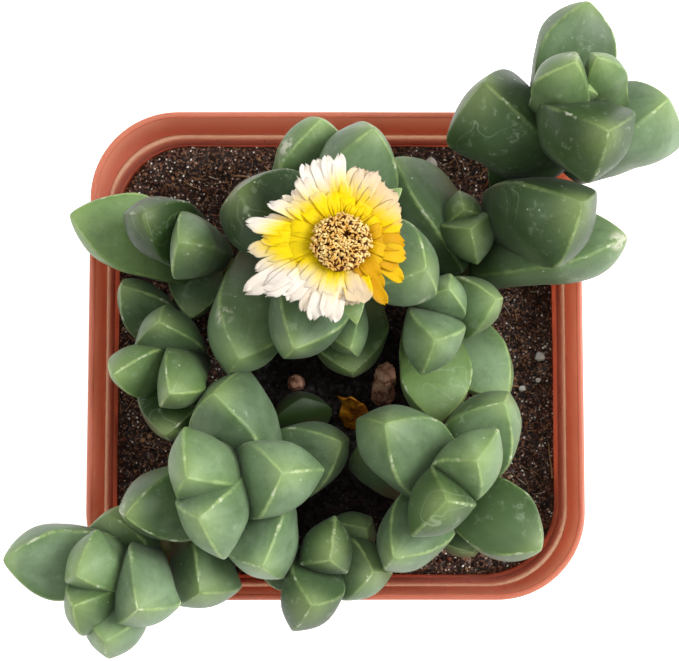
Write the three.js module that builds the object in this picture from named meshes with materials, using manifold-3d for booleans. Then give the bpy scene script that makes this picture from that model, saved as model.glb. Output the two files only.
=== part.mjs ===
// A potted Corpuscularia lehmannii in flower: a square plastic nursery pot, its soil,
// the shoots of keeled fleshy leaves, one open flower and what has withered below.
// Millimetres, +Z up. The origin is the centre of the pot's underside, +X to the right
// and +Y away from the viewer.
import * as THREE from "three";
import { mergeVertices } from "three/addons/utils/BufferGeometryUtils.js";
import Module from "manifold-3d";

const wasm = await Module();
wasm.setup();

// Driving dimensions of the pot
const rimWidth = 90;
const rimDepth = 89.2;
const potHeight = 80;
const cornerRadius = 16;
const baseCornerRadius = 10.5;
const lipThickness = 1.1;
const lipHeight = 0.9;
const collarBottom = 69.4;
const wallThickness = 1.2;
const floorThickness = 2;
const baseWidth = 63;
const baseDepth = 62.5;
const drainRadius = 2.6;
const drainCircle = 19;
const drainCount = 8;

// Driving dimensions of the soil and of what stands in it
const fit = 0.3;
const soilHeight = 66.6;
const soilRelief = 0.35;
const bankStart = 27;
const bankRun = 12;
const bankRise = 3.2;
const stemRadius = 2;
const stemDepth = 9;
const stemBottom = soilHeight - stemDepth;
const grainSize = 1.1;
const grainSink = 0.6;

// Driving dimensions of the flower
const flowerCentre = [1, 14.5];
const cupRadius = 5.4;
const cupHeight = 10;
const cupTop = 119.2;
const discRadius = 5.2;
const discThickness = 1.6;
const petalCount = 18;
const petalLength = 13.2;
const petalWidth = 2.7;
const petalThickness = 0.7;
const petalArch = 2.4;
const layerRise = 0.75;
const stamenCount = 34;
const stamenSpread = 4.8;

// Shape of a leaf: how its half width, its keel and its inner face run from root to tip
const leafRings = [0, 0.26, 0.52, 0.75, 0.92];
const marginShape = { atRoot: 0.74, widestAt: 0.56, power: 1.9, tipPower: 0.95 };
const keelShape = { atRoot: 0.72, widestAt: 0.68, power: 1.9, tipPower: 0.9 };
const sideBulge = 0.19;
const faceBulge = 0.07;
const faceBelly = 0.35;

const radians = THREE.MathUtils.degToRad;
const vector = ([x, y, z]) => new THREE.Vector3(x, y, z);

// Materials
const finishes = {
  leaf: { color: 0x6f9468, roughness: 0.55, metalness: 0 },
  pot: { color: 0xb0533c, roughness: 0.5, metalness: 0 },
  soil: { color: 0x2a1c16, roughness: 0.95, metalness: 0 },
  wood: { color: 0xb08f6c, roughness: 0.85, metalness: 0 },
  petal: { color: 0xf6d64a, roughness: 0.6, metalness: 0 },
  stamen: { color: 0xeec672, roughness: 0.7, metalness: 0 },
  withered: { color: 0xc98a22, roughness: 0.75, metalness: 0 },
  perlite: { color: 0xe8e4dc, roughness: 0.9, metalness: 0 },
};

// Fixed sequence of numbers from 0 to 1 for the small irregularities
function drawFrom(seed) {
  let state = seed;
  return () => {
    state = (state * 1664525 + 1013904223) % 4294967296;
    return state / 4294967296;
  };
}

// Closed surface through rings of equally many points, with a flat or a pointed end
function skin(rings, tip) {
  const sides = rings[0].length;
  const points = rings.flat();
  const faces = [];
  for (let ring = 0; ring + 1 < rings.length; ring++) {
    for (let side = 0; side < sides; side++) {
      const a = ring * sides + side;
      const b = ring * sides + ((side + 1) % sides);
      faces.push([a, b, b + sides], [a, b + sides, a + sides]);
    }
  }
  const middle = (ring) =>
    ring.reduce((sum, point) => sum.add(point), new THREE.Vector3()).divideScalar(sides);
  const first = points.push(middle(rings[0])) - 1;
  const lastRing = rings.length - 1;
  const last = points.push(tip ?? middle(rings[lastRing])) - 1;
  for (let side = 0; side < sides; side++) {
    const next = (side + 1) % sides;
    faces.push([first, next, side]);
    faces.push([last, lastRing * sides + side, lastRing * sides + next]);
  }
  const geometry = new THREE.BufferGeometry();
  const places = points.flatMap((point) => point.toArray());
  geometry.setAttribute("position", new THREE.Float32BufferAttribute(places, 3));
  geometry.setIndex(faces.flat());
  return geometry;
}

// Booleans
function solidOf(geometry) {
  const bare = new THREE.BufferGeometry();
  bare.setAttribute("position", geometry.getAttribute("position"));
  bare.setIndex(geometry.index);
  const merged = mergeVertices(bare, 1e-4);
  const vertProperties = merged.attributes.position.array;
  const triVerts = new Uint32Array(merged.index.array);
  const made = new wasm.Manifold(new wasm.Mesh({ numProp: 3, vertProperties, triVerts }));
  if (made.volume() > 0) return made;
  triVerts.reverse();
  return new wasm.Manifold(new wasm.Mesh({ numProp: 3, vertProperties, triVerts }));
}

// Several solids joined in one. The small hollows shut in between leaves are filled.
function fuse(solids) {
  const whole = solids.reduce((joined, solid) => joined.add(solid));
  const bodies = whole.decompose();
  return bodies.reduce((largest, body) => (body.volume() > largest.volume() ? body : largest));
}

function meshOf(name, solid, finish) {
  const { vertProperties, triVerts } = solid.getMesh();
  const geometry = new THREE.BufferGeometry();
  geometry.setAttribute("position", new THREE.BufferAttribute(new Float32Array(vertProperties), 3));
  geometry.setIndex(new THREE.BufferAttribute(new Uint32Array(triVerts), 1));
  geometry.computeVertexNormals();
  const mesh = new THREE.Mesh(geometry, new THREE.MeshStandardMaterial(finishes[finish]));
  mesh.name = name;
  return mesh;
}

// Rounded oblong outline at one height, as a ring of points
function oblong(halfWidth, halfDepth, radius, height, cornerSteps = 5) {
  const ring = [];
  for (let corner = 0; corner < 4; corner++) {
    const signX = corner === 0 || corner === 3 ? 1 : -1;
    const signY = corner < 2 ? 1 : -1;
    for (let step = 0; step <= cornerSteps; step++) {
      const angle = radians(90 * corner + (90 * step) / cornerSteps);
      const x = signX * (halfWidth - radius) + radius * Math.cos(angle);
      const y = signY * (halfDepth - radius) + radius * Math.sin(angle);
      ring.push(new THREE.Vector3(x, y, height));
    }
  }
  return ring;
}

// Upright round rod, used for the stubs of old stems and for the holes
function rod(x, y, radius, bottom, top, sides = 12) {
  const geometry = new THREE.CylinderGeometry(radius, radius, top - bottom, sides);
  geometry.rotateX(Math.PI / 2);
  geometry.translate(x, y, (top + bottom) / 2);
  return solidOf(geometry);
}

// Solid of revolution about an upright axis through the flower's centre
function turned(profile, sides) {
  const geometry = new THREE.LatheGeometry(profile.map(([r, z]) => new THREE.Vector2(r, z)), sides);
  geometry.rotateX(Math.PI / 2);
  geometry.translate(flowerCentre[0], flowerCentre[1], 0);
  return solidOf(geometry);
}

// A round stem along a smooth path
function makeStem(path, radius, sides = 8) {
  const curve = new THREE.CatmullRomCurve3(path.map(vector), false, "centripetal");
  const outline = new THREE.Shape();
  outline.absarc(0, 0, radius, 0, 2 * Math.PI);
  const steps = 2 * (path.length - 1);
  const settings = { steps, curveSegments: sides / 2, bevelEnabled: false, extrudePath: curve };
  return solidOf(new THREE.ExtrudeGeometry(outline, settings));
}

// Half width, half depth and corner radius of the pot's inside just below the collar
const innerNeck = [41.5, 40.75, cornerRadius - 2.2];

// The pot: a tapered wall, a step out to the collar, and a thin lip at the rim
function makePot() {
  const outside = skin([
    oblong(baseWidth / 2, baseDepth / 2, baseCornerRadius, 0),
    oblong(42.6, 41.95, cornerRadius - 1.2, collarBottom - 0.8),
    oblong(44, 43.55, cornerRadius - 0.4, collarBottom),
    oblong(44.6, 44.15, cornerRadius, potHeight - lipHeight - 0.3),
    oblong(rimWidth / 2, rimDepth / 2, cornerRadius, potHeight - lipHeight),
    oblong(rimWidth / 2, rimDepth / 2, cornerRadius, potHeight),
  ]);
  const innerBase = [baseWidth / 2 - wallThickness, baseDepth / 2 - wallThickness];
  const innerRim = [rimWidth / 2 - lipThickness, rimDepth / 2 - lipThickness];
  const inside = skin([
    oblong(...innerBase, baseCornerRadius - 1, floorThickness),
    oblong(...innerNeck, collarBottom - 1),
    oblong(42.8, 42.25, cornerRadius - 1.5, collarBottom + 0.2),
    oblong(...innerRim, cornerRadius - lipThickness, potHeight),
    oblong(...innerRim, cornerRadius - lipThickness, potHeight + 1),
  ]);
  let pot = solidOf(outside).subtract(solidOf(inside));
  for (let hole = 0; hole < drainCount; hole++) {
    const angle = (2 * Math.PI * (hole + 0.5)) / drainCount;
    const x = drainCircle * Math.cos(angle);
    const y = drainCircle * Math.sin(angle);
    pot = pot.subtract(rod(x, y, drainRadius, -1, floorThickness + 1, 10));
  }
  return pot;
}

// Outline just clear of the pot's inside at one height, or a share of it
function wallInside(height, share = 1) {
  const along = (height - floorThickness) / (collarBottom - 1 - floorThickness);
  const between = (low, high) => (low + (high - low) * along - fit) * share;
  return oblong(
    between(baseWidth / 2 - wallThickness, innerNeck[0]),
    between(baseDepth / 2 - wallThickness, innerNeck[1]),
    between(baseCornerRadius - 1, innerNeck[2]),
    height,
  );
}

// Height of the soil's loose surface at a place: slow waves, and a bank at the back
function soilTop(x, y) {
  const waves = Math.sin(0.31 * x + 0.9) * Math.cos(0.27 * y - 0.4) + Math.sin(0.17 * (x - y));
  const bank = bankRise * THREE.MathUtils.smoothstep(y, bankStart, bankStart + bankRun);
  return soilHeight + soilRelief * waves + bank;
}

function makeSoil(holes) {
  const top = [0.97, 0.75, 0.5, 0.25].map((share) => {
    const ring = wallInside(soilHeight, share);
    ring.forEach((point) => point.setZ(soilTop(point.x, point.y)));
    return ring;
  });
  const rim = wallInside(soilHeight - 1.2);
  const bottom = wallInside(floorThickness + fit);
  const summit = new THREE.Vector3(0, 0, soilTop(0, 0));
  const heap = solidOf(skin([bottom, rim, ...top], summit));
  return holes.reduce(
    (soil, { x, y, radius, bottom }) =>
      soil.subtract(rod(x, y, radius + fit, bottom - fit, potHeight)),
    heap,
  );
}

// Share of the full size reached at a place along a leaf: a sine up to the widest
// place, then a rounded fall to nothing at the tip
function swell(along, { atRoot, widestAt, power, tipPower }) {
  if (along < widestAt) {
    return atRoot + (1 - atRoot) * Math.sin((along / widestAt) * (Math.PI / 2));
  }
  return (1 - ((along - widestAt) / (1 - widestAt)) ** power) ** tipPower;
}

// One keeled leaf. It runs from its node to its tip. Its flat inner face looks towards
// the shoot's axis, its keel away from it, and its two sides bulge between the three
// ridges, which meet at the tip.
function makeLeaf(at, axis, { tip, wide, deep, keel, lift }) {
  const root = vector(at);
  const end = vector(tip);
  const span = end.clone().sub(root);
  const length = span.length();
  const forward = span.clone().normalize();
  const away = new THREE.Vector3(Math.cos(radians(keel)), Math.sin(radians(keel)), 0);
  away.addScaledVector(axis, -away.dot(axis)).normalize();
  const inward = axis.clone().multiplyScalar(lift).addScaledVector(away, -0.8);
  inward.addScaledVector(forward, -inward.dot(forward)).normalize();
  const side = forward.clone().cross(inward);
  const rings = leafRings.map((along) => {
    const halfWidth = (swell(along, marginShape) * wide) / 2;
    const depth = swell(along, keelShape) * deep;
    const rise = faceBelly * length * along * (1 - along) ** 0.8;
    const right = new THREE.Vector2(halfWidth, 0);
    const left = new THREE.Vector2(-halfWidth, 0);
    const corners = [right, left, new THREE.Vector2(0, -depth)];
    const outline = corners.flatMap((corner, index) => {
      const chord = corners[(index + 1) % 3].clone().sub(corner);
      const bulge = index === 0 ? faceBulge : sideBulge;
      const crown = corner.clone().addScaledVector(chord, 0.5);
      crown.add(new THREE.Vector2(chord.y, -chord.x).multiplyScalar(bulge));
      return [corner, crown];
    });
    const middle = root.clone().addScaledVector(forward, along * length);
    return outline.map(({ x, y }) =>
      middle.clone().addScaledVector(side, x).addScaledVector(inward, rise + y),
    );
  });
  return solidOf(skin(rings, end));
}

// The shoots. Each stands on a foot in the soil and leans along its axis. A node is a
// place on the main stem with the leaves that grow there, a twig one on a side stem. A
// leaf gives the place of its tip, its width and depth, the compass angle that its keel
// points to, and how far its inner face looks up along the axis rather than inwards.
const leaf = (tip, wide, deep, keel, lift = 0.6) => ({ tip, wide, deep, keel, lift });
const node = (at, leaves) => ({ at, leaves });
const twig = (from, at, leaves) => ({ from, at, leaves });

const shoots = {
  shoot_back_right: {
    foot: [22, 12],
    axis: [0.1, 0.05, 1],
    nodes: [
      twig([40.2, 37.6, 100.6], [38.5, 39.5, 105], [
        leaf([39, 43, 126], 9.5, 9, 197, 0.3),
      ]),
      twig([40.8, 37.4, 101.3], [46, 39.5, 105], [
        leaf([42.5, 44, 125], 8, 7, -15),
      ]),
      node([42.5, 39.5, 113], [
        leaf([41, 39.5, 122], 4, 3.6, 90),
      ]),
      node([39, 39.5, 102], [
        leaf([43, 57, 111], 14, 12, 88),
        leaf([44, 31.5, 127], 15.5, 12.5, -95),
      ]),
      node([39.5, 35, 97], [
        leaf([25, 42.5, 113], 15.5, 15.5, 220),
        leaf([56, 40, 112], 13.5, 14.5, -32),
      ]),
      node([31.5, 27.5, 90], [
        leaf([41.5, 22.5, 111], 16, 14.5, -105),
        leaf([33, 44, 102], 11, 11, 75),
      ]),
      node([24.5, 17, 84], [
        leaf([51, 19, 96], 13.2, 11.8, -20, 0.3),
        leaf([10.5, 33.5, 93], 13.5, 12, 185),
      ]),
      twig([24.5, 16, 82], [23, 23.5, 84], [
        leaf([22.5, 23.5, 97], 7.5, 5.5, 95),
        leaf([23.5, 20, 98], 9.5, 8.5, -70),
      ]),
    ],
  },
  shoot_flowering: {
    foot: [1, 16],
    axis: [-0.1, 0, 1],
    nodes: [
      node([1, 15.5, 111], [
        leaf([3.5, 1.5, 114], 5.5, 2.6, -80),
        leaf([11, 24, 116], 5, 2.4, 40),
        leaf([-1, 28, 115], 5.5, 2.6, 95),
        leaf([-11.5, 17.5, 114], 5.5, 2.6, 165),
        leaf([-8, 5.5, 114], 5.5, 2.6, 225),
      ]),
      node([1, 17.5, 98], [
        leaf([15, 11, 112], 14, 13.5, -40),
        leaf([-16.5, 24, 112], 15.5, 15, 180, 0.4),
      ]),
      node([0, 18.5, 90], [
        leaf([6.5, 36, 106], 14, 13, 105),
        leaf([-7, -2, 109], 14, 12.8, -128),
      ]),
      twig([0.5, 17.5, 79], [-7.5, 27, 81], [
        leaf([-2.5, 39.5, 97], 15, 7.5, 135),
      ]),
      twig([0.7, 16.4, 75], [-0.5, 13.5, 78], [
        leaf([2.5, -1, 98], 9, 8, -60),
      ]),
      twig([0.8, 16.2, 71.6], [1.5, 12.5, 74], [
        leaf([3, -4, 86], 15, 8.5, -90, 1.3),
      ]),
      twig([0.5, 16.5, 70], [-12, 17, 83], [
        leaf([-16.5, -3, 101], 14.5, 14, -124),
      ]),
    ],
  },
  shoot_left_back: {
    foot: [-20, 17],
    axis: [-0.3, 0.05, 1],
    nodes: [
      node([-23.5, 17.5, 88], [
        leaf([-26.5, 16, 109], 12, 7.5, -5),
        leaf([-33, 21, 107], 11.5, 10, 165),
      ]),
      node([-25, 19, 76], [
        leaf([-26, 6, 84], 10, 5.5, -110),
      ]),
      node([-23.5, 17, 80], [
        leaf([-47, 23.5, 92], 14.5, 10.5, 175, 1.2),
      ]),
    ],
  },
  shoot_left: {
    foot: [-26, 1],
    axis: [-0.3, -0.35, 1],
    nodes: [
      node([-28, -1.5, 82], [
        leaf([-28.5, -9, 101], 10.5, 8, -8),
        leaf([-38.5, -5.5, 97], 10, 7, 155),
      ]),
      node([-28, -0.5, 78], [
        leaf([-30.5, 3.5, 99], 12.5, 7, 95),
        leaf([-30, -15.5, 91], 12.5, 8, -105, 1.3),
      ]),
      node([-28, 1.5, 72], [
        leaf([-38, 11, 90], 9.5, 8, 130),
      ]),
    ],
  },
  shoot_centre: {
    foot: [-14.5, -22.5],
    axis: [-0.2, -0.15, 1],
    nodes: [
      node([-19, -24, 92], [
        leaf([-24.5, -24, 114], 10.5, 11.5, 105),
        leaf([-22.5, -30.5, 113], 11.5, 11.5, -75),
      ]),
      node([-17, -24.5, 88], [
        leaf([-9, -23, 110], 13.5, 12.5, 5),
        leaf([-35.5, -30, 103], 13, 12, 180),
      ]),
      node([-14.5, -23.5, 80], [
        leaf([-21, -9, 100], 15, 13.5, 70),
        leaf([-12.5, -38.5, 102], 14.5, 11, -60),
      ]),
      node([-15.5, -23, 74], [
        leaf([1, -17, 92], 13.5, 10.5, 25),
      ]),
    ],
  },
  shoot_front_left: {
    foot: [-29, -33],
    axis: [-0.35, -0.1, 1],
    nodes: [
      node([-38.5, -41, 90], [
        leaf([-43.5, -40, 106], 9, 10, 80),
        leaf([-44, -45, 105], 8.5, 8.5, -100),
      ]),
      node([-36, -38, 88], [
        leaf([-57, -37.5, 97], 13, 11.5, 165),
        leaf([-33, -45.5, 108], 13, 10, -10),
      ]),
      node([-36, -39.5, 86], [
        leaf([-39, -51, 102], 11.5, 10, -112),
        leaf([-40, -29.5, 92], 14, 10, 80),
      ]),
      twig([-32.5, -37, 74], [-28.5, -34.5, 78], [
        leaf([-23.5, -43, 94], 13, 11, -15),
      ]),
    ],
  },
  shoot_front_right: {
    foot: [18.5, -23.5],
    axis: [0.1, 0, 1],
    nodes: [
      node([19.5, -24.5, 90], [
        leaf([23.5, -21, 110], 10, 11, 50),
        leaf([18.5, -27.5, 110], 10.2, 11, -130),
      ]),
      node([20.5, -24.5, 86], [
        leaf([8.5, -14.5, 104], 13.5, 14.5, 150),
        leaf([35.5, -35.5, 95], 13.5, 10, -40, 0.9),
      ]),
      node([20.5, -24, 80], [
        leaf([29, -10.5, 99], 13.5, 11.5, 55),
        leaf([10, -37, 98], 12, 11.5, -125),
      ]),
      node([19, -24, 74], [
        leaf([5.5, -16.5, 88], 11.5, 11, 200),
        leaf([24.5, -36, 84], 11, 8, -60),
      ]),
    ],
  },
  shoot_right: {
    foot: [17.5, 4.5],
    axis: [0.05, -0.15, 1],
    nodes: [
      node([17.5, 6.5, 84], [
        leaf([19.5, 9, 101], 9.5, 6, 75),
        leaf([17, 0, 103], 10.5, 10, -105),
      ]),
      node([17, 7, 79], [
        leaf([28, 8, 95], 11.5, 7.5, 5, 1.2),
      ]),
      node([17.5, 7, 76], [
        leaf([18.5, -13, 84], 13.5, 10, -90, 1.5),
      ]),
      node([19.5, 7.5, 74], [
        leaf([31, -8, 82], 12, 9, -50, 0.9),
      ]),
    ],
  },
  shoot_front: {
    foot: [-3, -34.5],
    axis: [0.05, -0.25, 1],
    nodes: [
      node([-3, -37.5, 85], [
        leaf([-4, -45, 99], 10.5, 10.5, -115),
        leaf([-1, -37.5, 100], 8.5, 9.5, 80),
      ]),
      node([-3, -38, 80], [
        leaf([6.5, -39.5, 91], 11.5, 10, -15),
        leaf([-14, -39, 84.5], 8.5, 5.5, 170),
      ]),
      node([-3, -37, 76], [
        leaf([5.5, -32, 86], 9.5, 8, 40),
      ]),
    ],
  },
  shoot_low: {
    foot: [-6.5, -15.5],
    axis: [0.1, 1, 1],
    nodes: [
      node([-6.5, -14.5, 71.5], [
        leaf([-6, -8, 78], 11.5, 5.5, 100, 1.2),
      ]),
    ],
  },
};

// One shoot with its leaves, and with what else grows on it
function makeShoot({ foot: [x, y], axis, nodes }, end = [], others = []) {
  const lean = vector(axis).normalize();
  const leaves = nodes.flatMap(({ at, leaves }) => leaves.map((shape) => makeLeaf(at, lean, shape)));
  const twigs = nodes.filter(({ from }) => from);
  const main = nodes.filter(({ from }) => !from).map(({ at }) => at);
  main.sort((low, high) => low[2] - high[2]);
  const foot = [-stemDepth, 0, 2].map((rise) => [x, y, soilHeight + rise]);
  const path = [...foot, ...main, ...end];
  const stems = twigs.map(({ from, at }) => makeStem([from, at], stemRadius));
  return fuse([makeStem(path, stemRadius), ...stems, ...leaves, ...others]);
}

// Cup under the flower that carries its petals and the calyx lobes
function makeCup() {
  return turned(
    [
      [0, cupTop - cupHeight],
      [stemRadius, cupTop - 0.96 * cupHeight],
      [0.6 * cupRadius, cupTop - 0.6 * cupHeight],
      [cupRadius, cupTop - 0.22 * cupHeight],
      [cupRadius, cupTop],
      [0, cupTop],
    ],
    12,
  );
}

// One petal: a narrow thin blade that rises from the disc, arches over and droops a
// little at its blunt tip
function makePetal(angle, length, base, droop) {
  const outward = new THREE.Vector3(Math.cos(angle), Math.sin(angle), 0);
  const across = new THREE.Vector3(-Math.sin(angle), Math.cos(angle), 0);
  const stations = [0, 0.5, 1];
  const widths = [0.42, 1, 0.55];
  const start = discRadius - 1.6;
  const rings = stations.map((along, index) => {
    const reach = start + along * (length - start);
    const height = base + petalArch * Math.sin(along * 2.2) - droop * along ** 2;
    const half = (widths[index] * petalWidth) / 2;
    const middle = new THREE.Vector3(flowerCentre[0], flowerCentre[1], height);
    middle.addScaledVector(outward, reach);
    return [
      [-half, 0],
      [half, 0],
      [half, petalThickness],
      [-half, petalThickness],
    ].map(([x, z]) => middle.clone().addScaledVector(across, x).add(new THREE.Vector3(0, 0, z)));
  });
  return solidOf(skin(rings));
}

// The petals in two layers round a flat disc. Those towards the lower left are longest.
function makePetals() {
  const draw = drawFrom(7);
  const bottom = cupTop + fit;
  const top = bottom + discThickness;
  const profile = [[0, bottom], [discRadius, bottom], [discRadius, top], [0, top]];
  const petals = [0, 1].flatMap((layer) =>
    Array.from({ length: petalCount }, (_, index) => {
      const turn = index + 0.5 * layer + 0.3 * (draw() - 0.5);
      const angle = (2 * Math.PI * turn) / petalCount;
      const longer = 2.4 * Math.cos(angle - radians(205));
      const length = petalLength + longer - 1.2 * layer + 2 * (draw() - 0.5);
      const base = bottom + 0.15 + layerRise * layer;
      return makePetal(angle, length, base, 1.2 + 1.6 * draw() - 0.6 * layer);
    }),
  );
  return fuse([turned(profile, 14), ...petals]);
}

// The dense head of stamens: a dome with a hollow at its centre, set with small nubs
function makeStamens() {
  const bottom = cupTop + fit + discThickness + fit;
  const dome = turned(
    [
      [0, bottom],
      [2.6, bottom],
      [3, bottom + 2.3],
      [4.4, bottom + 3],
      [4, bottom + 3.6],
      [2.6, bottom + 3.9],
      [1.2, bottom + 3.2],
      [0, bottom + 2.2],
    ],
    12,
  );
  const draw = drawFrom(21);
  const goldenTurn = Math.PI * (3 - Math.sqrt(5));
  const nubs = Array.from({ length: stamenCount }, (_, index) => {
    const share = Math.sqrt((index + 0.5) / stamenCount);
    const angle = index * goldenTurn;
    const radius = 1.2 + (stamenSpread - 1.2) * share;
    const geometry = new THREE.OctahedronGeometry(0.75 + 0.2 * draw(), 0);
    geometry.translate(
      flowerCentre[0] + radius * Math.cos(angle),
      flowerCentre[1] + radius * Math.sin(angle),
      bottom + 3.7 + 0.5 * Math.sin(Math.PI * share) - 0.5 * share,
    );
    return solidOf(geometry);
  });
  return fuse([dome, ...nubs]);
}

// What is left of older stems: their stubs, and a dried petal that leans beside one
const stubs = {
  woody_stem: { foot: [8.8, -6.6], radius: 2.1, top: [9.1, -3.6, 83.5] },
  old_stem: { foot: [-7.5, -4.5], radius: 1.5, top: [-7.3, -4.7, 73] },
};

function makeStub({ foot, radius, top }) {
  const upright = [stemBottom, soilHeight, soilHeight + 2].map((height) => [...foot, height]);
  return makeStem([...upright, top], radius, 10);
}

const witheredPath = [
  [3.1, -13.2, 68.2],
  [2.8, -11.8, 70.7],
  [3.4, -10.4, 73.5],
  [2.8, -9, 76.3],
  [1.9, -8.2, 78.4],
];

function makeWithered() {
  const curve = new THREE.CatmullRomCurve3(witheredPath.map(vector));
  const outline = new THREE.Shape();
  outline.moveTo(-0.4, -2.2);
  outline.quadraticCurveTo(0.7, 0, -0.4, 2.2);
  outline.lineTo(-1.1, 1.8);
  outline.quadraticCurveTo(-0.2, 0, -1.1, -1.8);
  const settings = { steps: 8, curveSegments: 3, bevelEnabled: false, extrudePath: curve };
  return solidOf(new THREE.ExtrudeGeometry(outline, settings));
}

// Grains of perlite, each in its own dip in the soil
const grainPlaces = [
  [18, 37],
  [38.5, 0.5],
  [35, -5.5],
  [38, -3.8],
];

function makeGrain([x, y]) {
  const geometry = new THREE.IcosahedronGeometry(grainSize, 0);
  geometry.scale(1, 1, 0.75);
  geometry.translate(x, y, soilTop(x, y) + grainSink / 2);
  return solidOf(geometry);
}

// Assembly
const holeAt = ([x, y], radius, bottom) => ({ x, y, radius, bottom });
const stemHoles = Object.values(shoots).map(({ foot }) => holeAt(foot, stemRadius, stemBottom));
const stubHoles = Object.values(stubs).map(({ foot, radius }) => holeAt(foot, radius, stemBottom));
const grainDips = grainPlaces.map((at) => holeAt(at, grainSize, soilTop(...at) - grainSink));

const plant = new THREE.Group();
plant.add(meshOf("pot", makePot(), "pot"));
plant.add(meshOf("soil", makeSoil([...stemHoles, ...stubHoles, ...grainDips]), "soil"));
for (const [name, shoot] of Object.entries(shoots)) {
  const solid =
    name === "shoot_flowering"
      ? makeShoot(shoot, [[...flowerCentre, cupTop - 4]], [makeCup()])
      : makeShoot(shoot);
  plant.add(meshOf(name, solid, "leaf"));
}
plant.add(meshOf("flower_petals", makePetals(), "petal"));
plant.add(meshOf("flower_stamens", makeStamens(), "stamen"));
for (const [name, stub] of Object.entries(stubs)) {
  plant.add(meshOf(name, makeStub(stub), "wood"));
}
plant.add(meshOf("withered_petal", makeWithered(), "withered"));
grainPlaces.forEach((place, index) => {
  plant.add(meshOf(`perlite_grain_${index + 1}`, makeGrain(place), "perlite"));
});

export default plant;
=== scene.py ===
import bpy
import math
import numpy as np
from mathutils import Matrix, Vector


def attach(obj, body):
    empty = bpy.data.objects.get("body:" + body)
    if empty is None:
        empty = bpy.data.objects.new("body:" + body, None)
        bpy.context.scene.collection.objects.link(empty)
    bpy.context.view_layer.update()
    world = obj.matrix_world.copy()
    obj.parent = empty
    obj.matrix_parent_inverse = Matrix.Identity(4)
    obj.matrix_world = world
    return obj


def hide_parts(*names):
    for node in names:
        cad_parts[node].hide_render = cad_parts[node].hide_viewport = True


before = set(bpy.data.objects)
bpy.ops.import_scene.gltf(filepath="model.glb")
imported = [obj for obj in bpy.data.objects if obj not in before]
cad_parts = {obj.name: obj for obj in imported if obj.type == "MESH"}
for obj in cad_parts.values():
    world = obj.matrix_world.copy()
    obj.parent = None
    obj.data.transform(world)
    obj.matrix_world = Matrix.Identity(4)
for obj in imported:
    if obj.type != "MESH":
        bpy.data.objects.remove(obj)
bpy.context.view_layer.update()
millimetre = 0.001
print("frame loaded")


# Surfaces on a grid

def lengthOf(vectors):
    return np.sqrt((vectors ** 2).sum(-1, keepdims=True))


def unit(vectors):
    return vectors / np.maximum(lengthOf(vectors), 1e-9)


def turns(count):
    # Even angles round a circle
    return np.arange(count) * 2 * np.pi / count


def polar(reach, angle):
    # Places in a plane at distances and angles from its middle
    return np.stack([reach * np.cos(angle), reach * np.sin(angle)], -1)


def ballPoints(rise, columns):
    # Points of a ball of radius one: rings at angles from its top, even turns round it
    turn = turns(columns)
    return np.stack([np.sin(rise)[:, None] * np.cos(turn), np.sin(rise)[:, None] * np.sin(turn),
                     np.cos(rise)[:, None] + 0 * turn], -1)


def shellFrom(rings, ends=None, across=None, along=None, fields=None):
    # Closed skins over rings of points, (shells, rows, columns, 3): a quad between
    # neighbours, and a fan to one point at each end, the middle of the last ring unless
    # it is given. Fields are numbers for each point.
    ends = rings[:, [0, -1]].mean(2) if ends is None else ends
    count, rows, columns = rings.shape[:3]
    size = rows * columns + 2
    row, column = np.meshgrid(np.arange(rows - 1), np.arange(columns), indexing="ij")
    beside = (column + 1) % columns
    corners = [row * columns + column, row * columns + beside]
    corners += [corners[1] + columns, corners[0] + columns]
    quads = np.stack(corners, -1).reshape(-1, 4)
    around = np.arange(columns)
    beyond = (around + 1) % columns
    last = (rows - 1) * columns
    fans = np.concatenate([
        np.stack([np.full(columns, size - 2), beyond, around], -1),
        np.stack([np.full(columns, size - 1), last + around, last + beyond], -1)])
    across = np.linspace(0, 1, columns + 1) if across is None else across
    along = np.linspace(0, 1, rows) if along is None else along
    left, right, middle = across[:-1], across[1:], (across[:-1] + across[1:]) / 2
    quadPlaces = np.stack([
        np.stack([left[column], right[column], right[column], left[column]], -1),
        np.stack([along[row], along[row], along[row + 1], along[row + 1]], -1)], -1).reshape(-1, 4, 2)
    fanPlaces = np.concatenate([
        np.stack([np.stack([middle, *pair], -1), np.full((columns, 3), end)], -1)
        for pair, end in (((right, left), along[0]), ((left, right), along[-1]))])
    points = np.concatenate([rings.reshape(count, -1, 3), ends], 1)
    halves = np.concatenate([quads[:, :3], quads[:, [0, 2, 3]], fans])
    a, b, c = (points[0][halves[:, corner]] for corner in range(3))
    if (np.cross(a, b) * c).sum() < 0:  # inside out, so every face is turned round
        quads, fans = quads[:, ::-1], fans[:, ::-1]
        quadPlaces, fanPlaces = quadPlaces[:, ::-1], fanPlaces[:, ::-1]
    shift = (np.arange(count) * size)[:, None, None]
    part = {
        "points": points.reshape(-1, 3),
        "quads": (quads[None] + shift).reshape(-1, 4),
        "fans": (fans[None] + shift).reshape(-1, 3),
        "quadPlaces": np.tile(quadPlaces, (count, 1, 1)),
        "fanPlaces": np.tile(fanPlaces, (count, 1, 1)),
        "fields": {}}
    for field, values in (fields or {}).items():
        values = np.broadcast_to(values, (count, rows, columns))
        poles = np.stack([values[:, 0].mean(-1), values[:, -1].mean(-1)], -1)
        part["fields"][field] = np.concatenate([values.reshape(count, -1), poles], 1).ravel()
    return part


def barePart(points, quads, fans):
    # A skin whose faces all have the same place in its UV map
    return {"points": points, "quads": quads, "fans": fans, "quadPlaces": np.zeros((len(quads), 4, 2)),
            "fanPlaces": np.zeros((len(fans), 3, 2)), "fields": {}}


def link(name, data):
    # An object of the given data, put into the scene
    thing = bpy.data.objects.new(name, data)
    bpy.context.scene.collection.objects.link(thing)
    return thing


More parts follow.
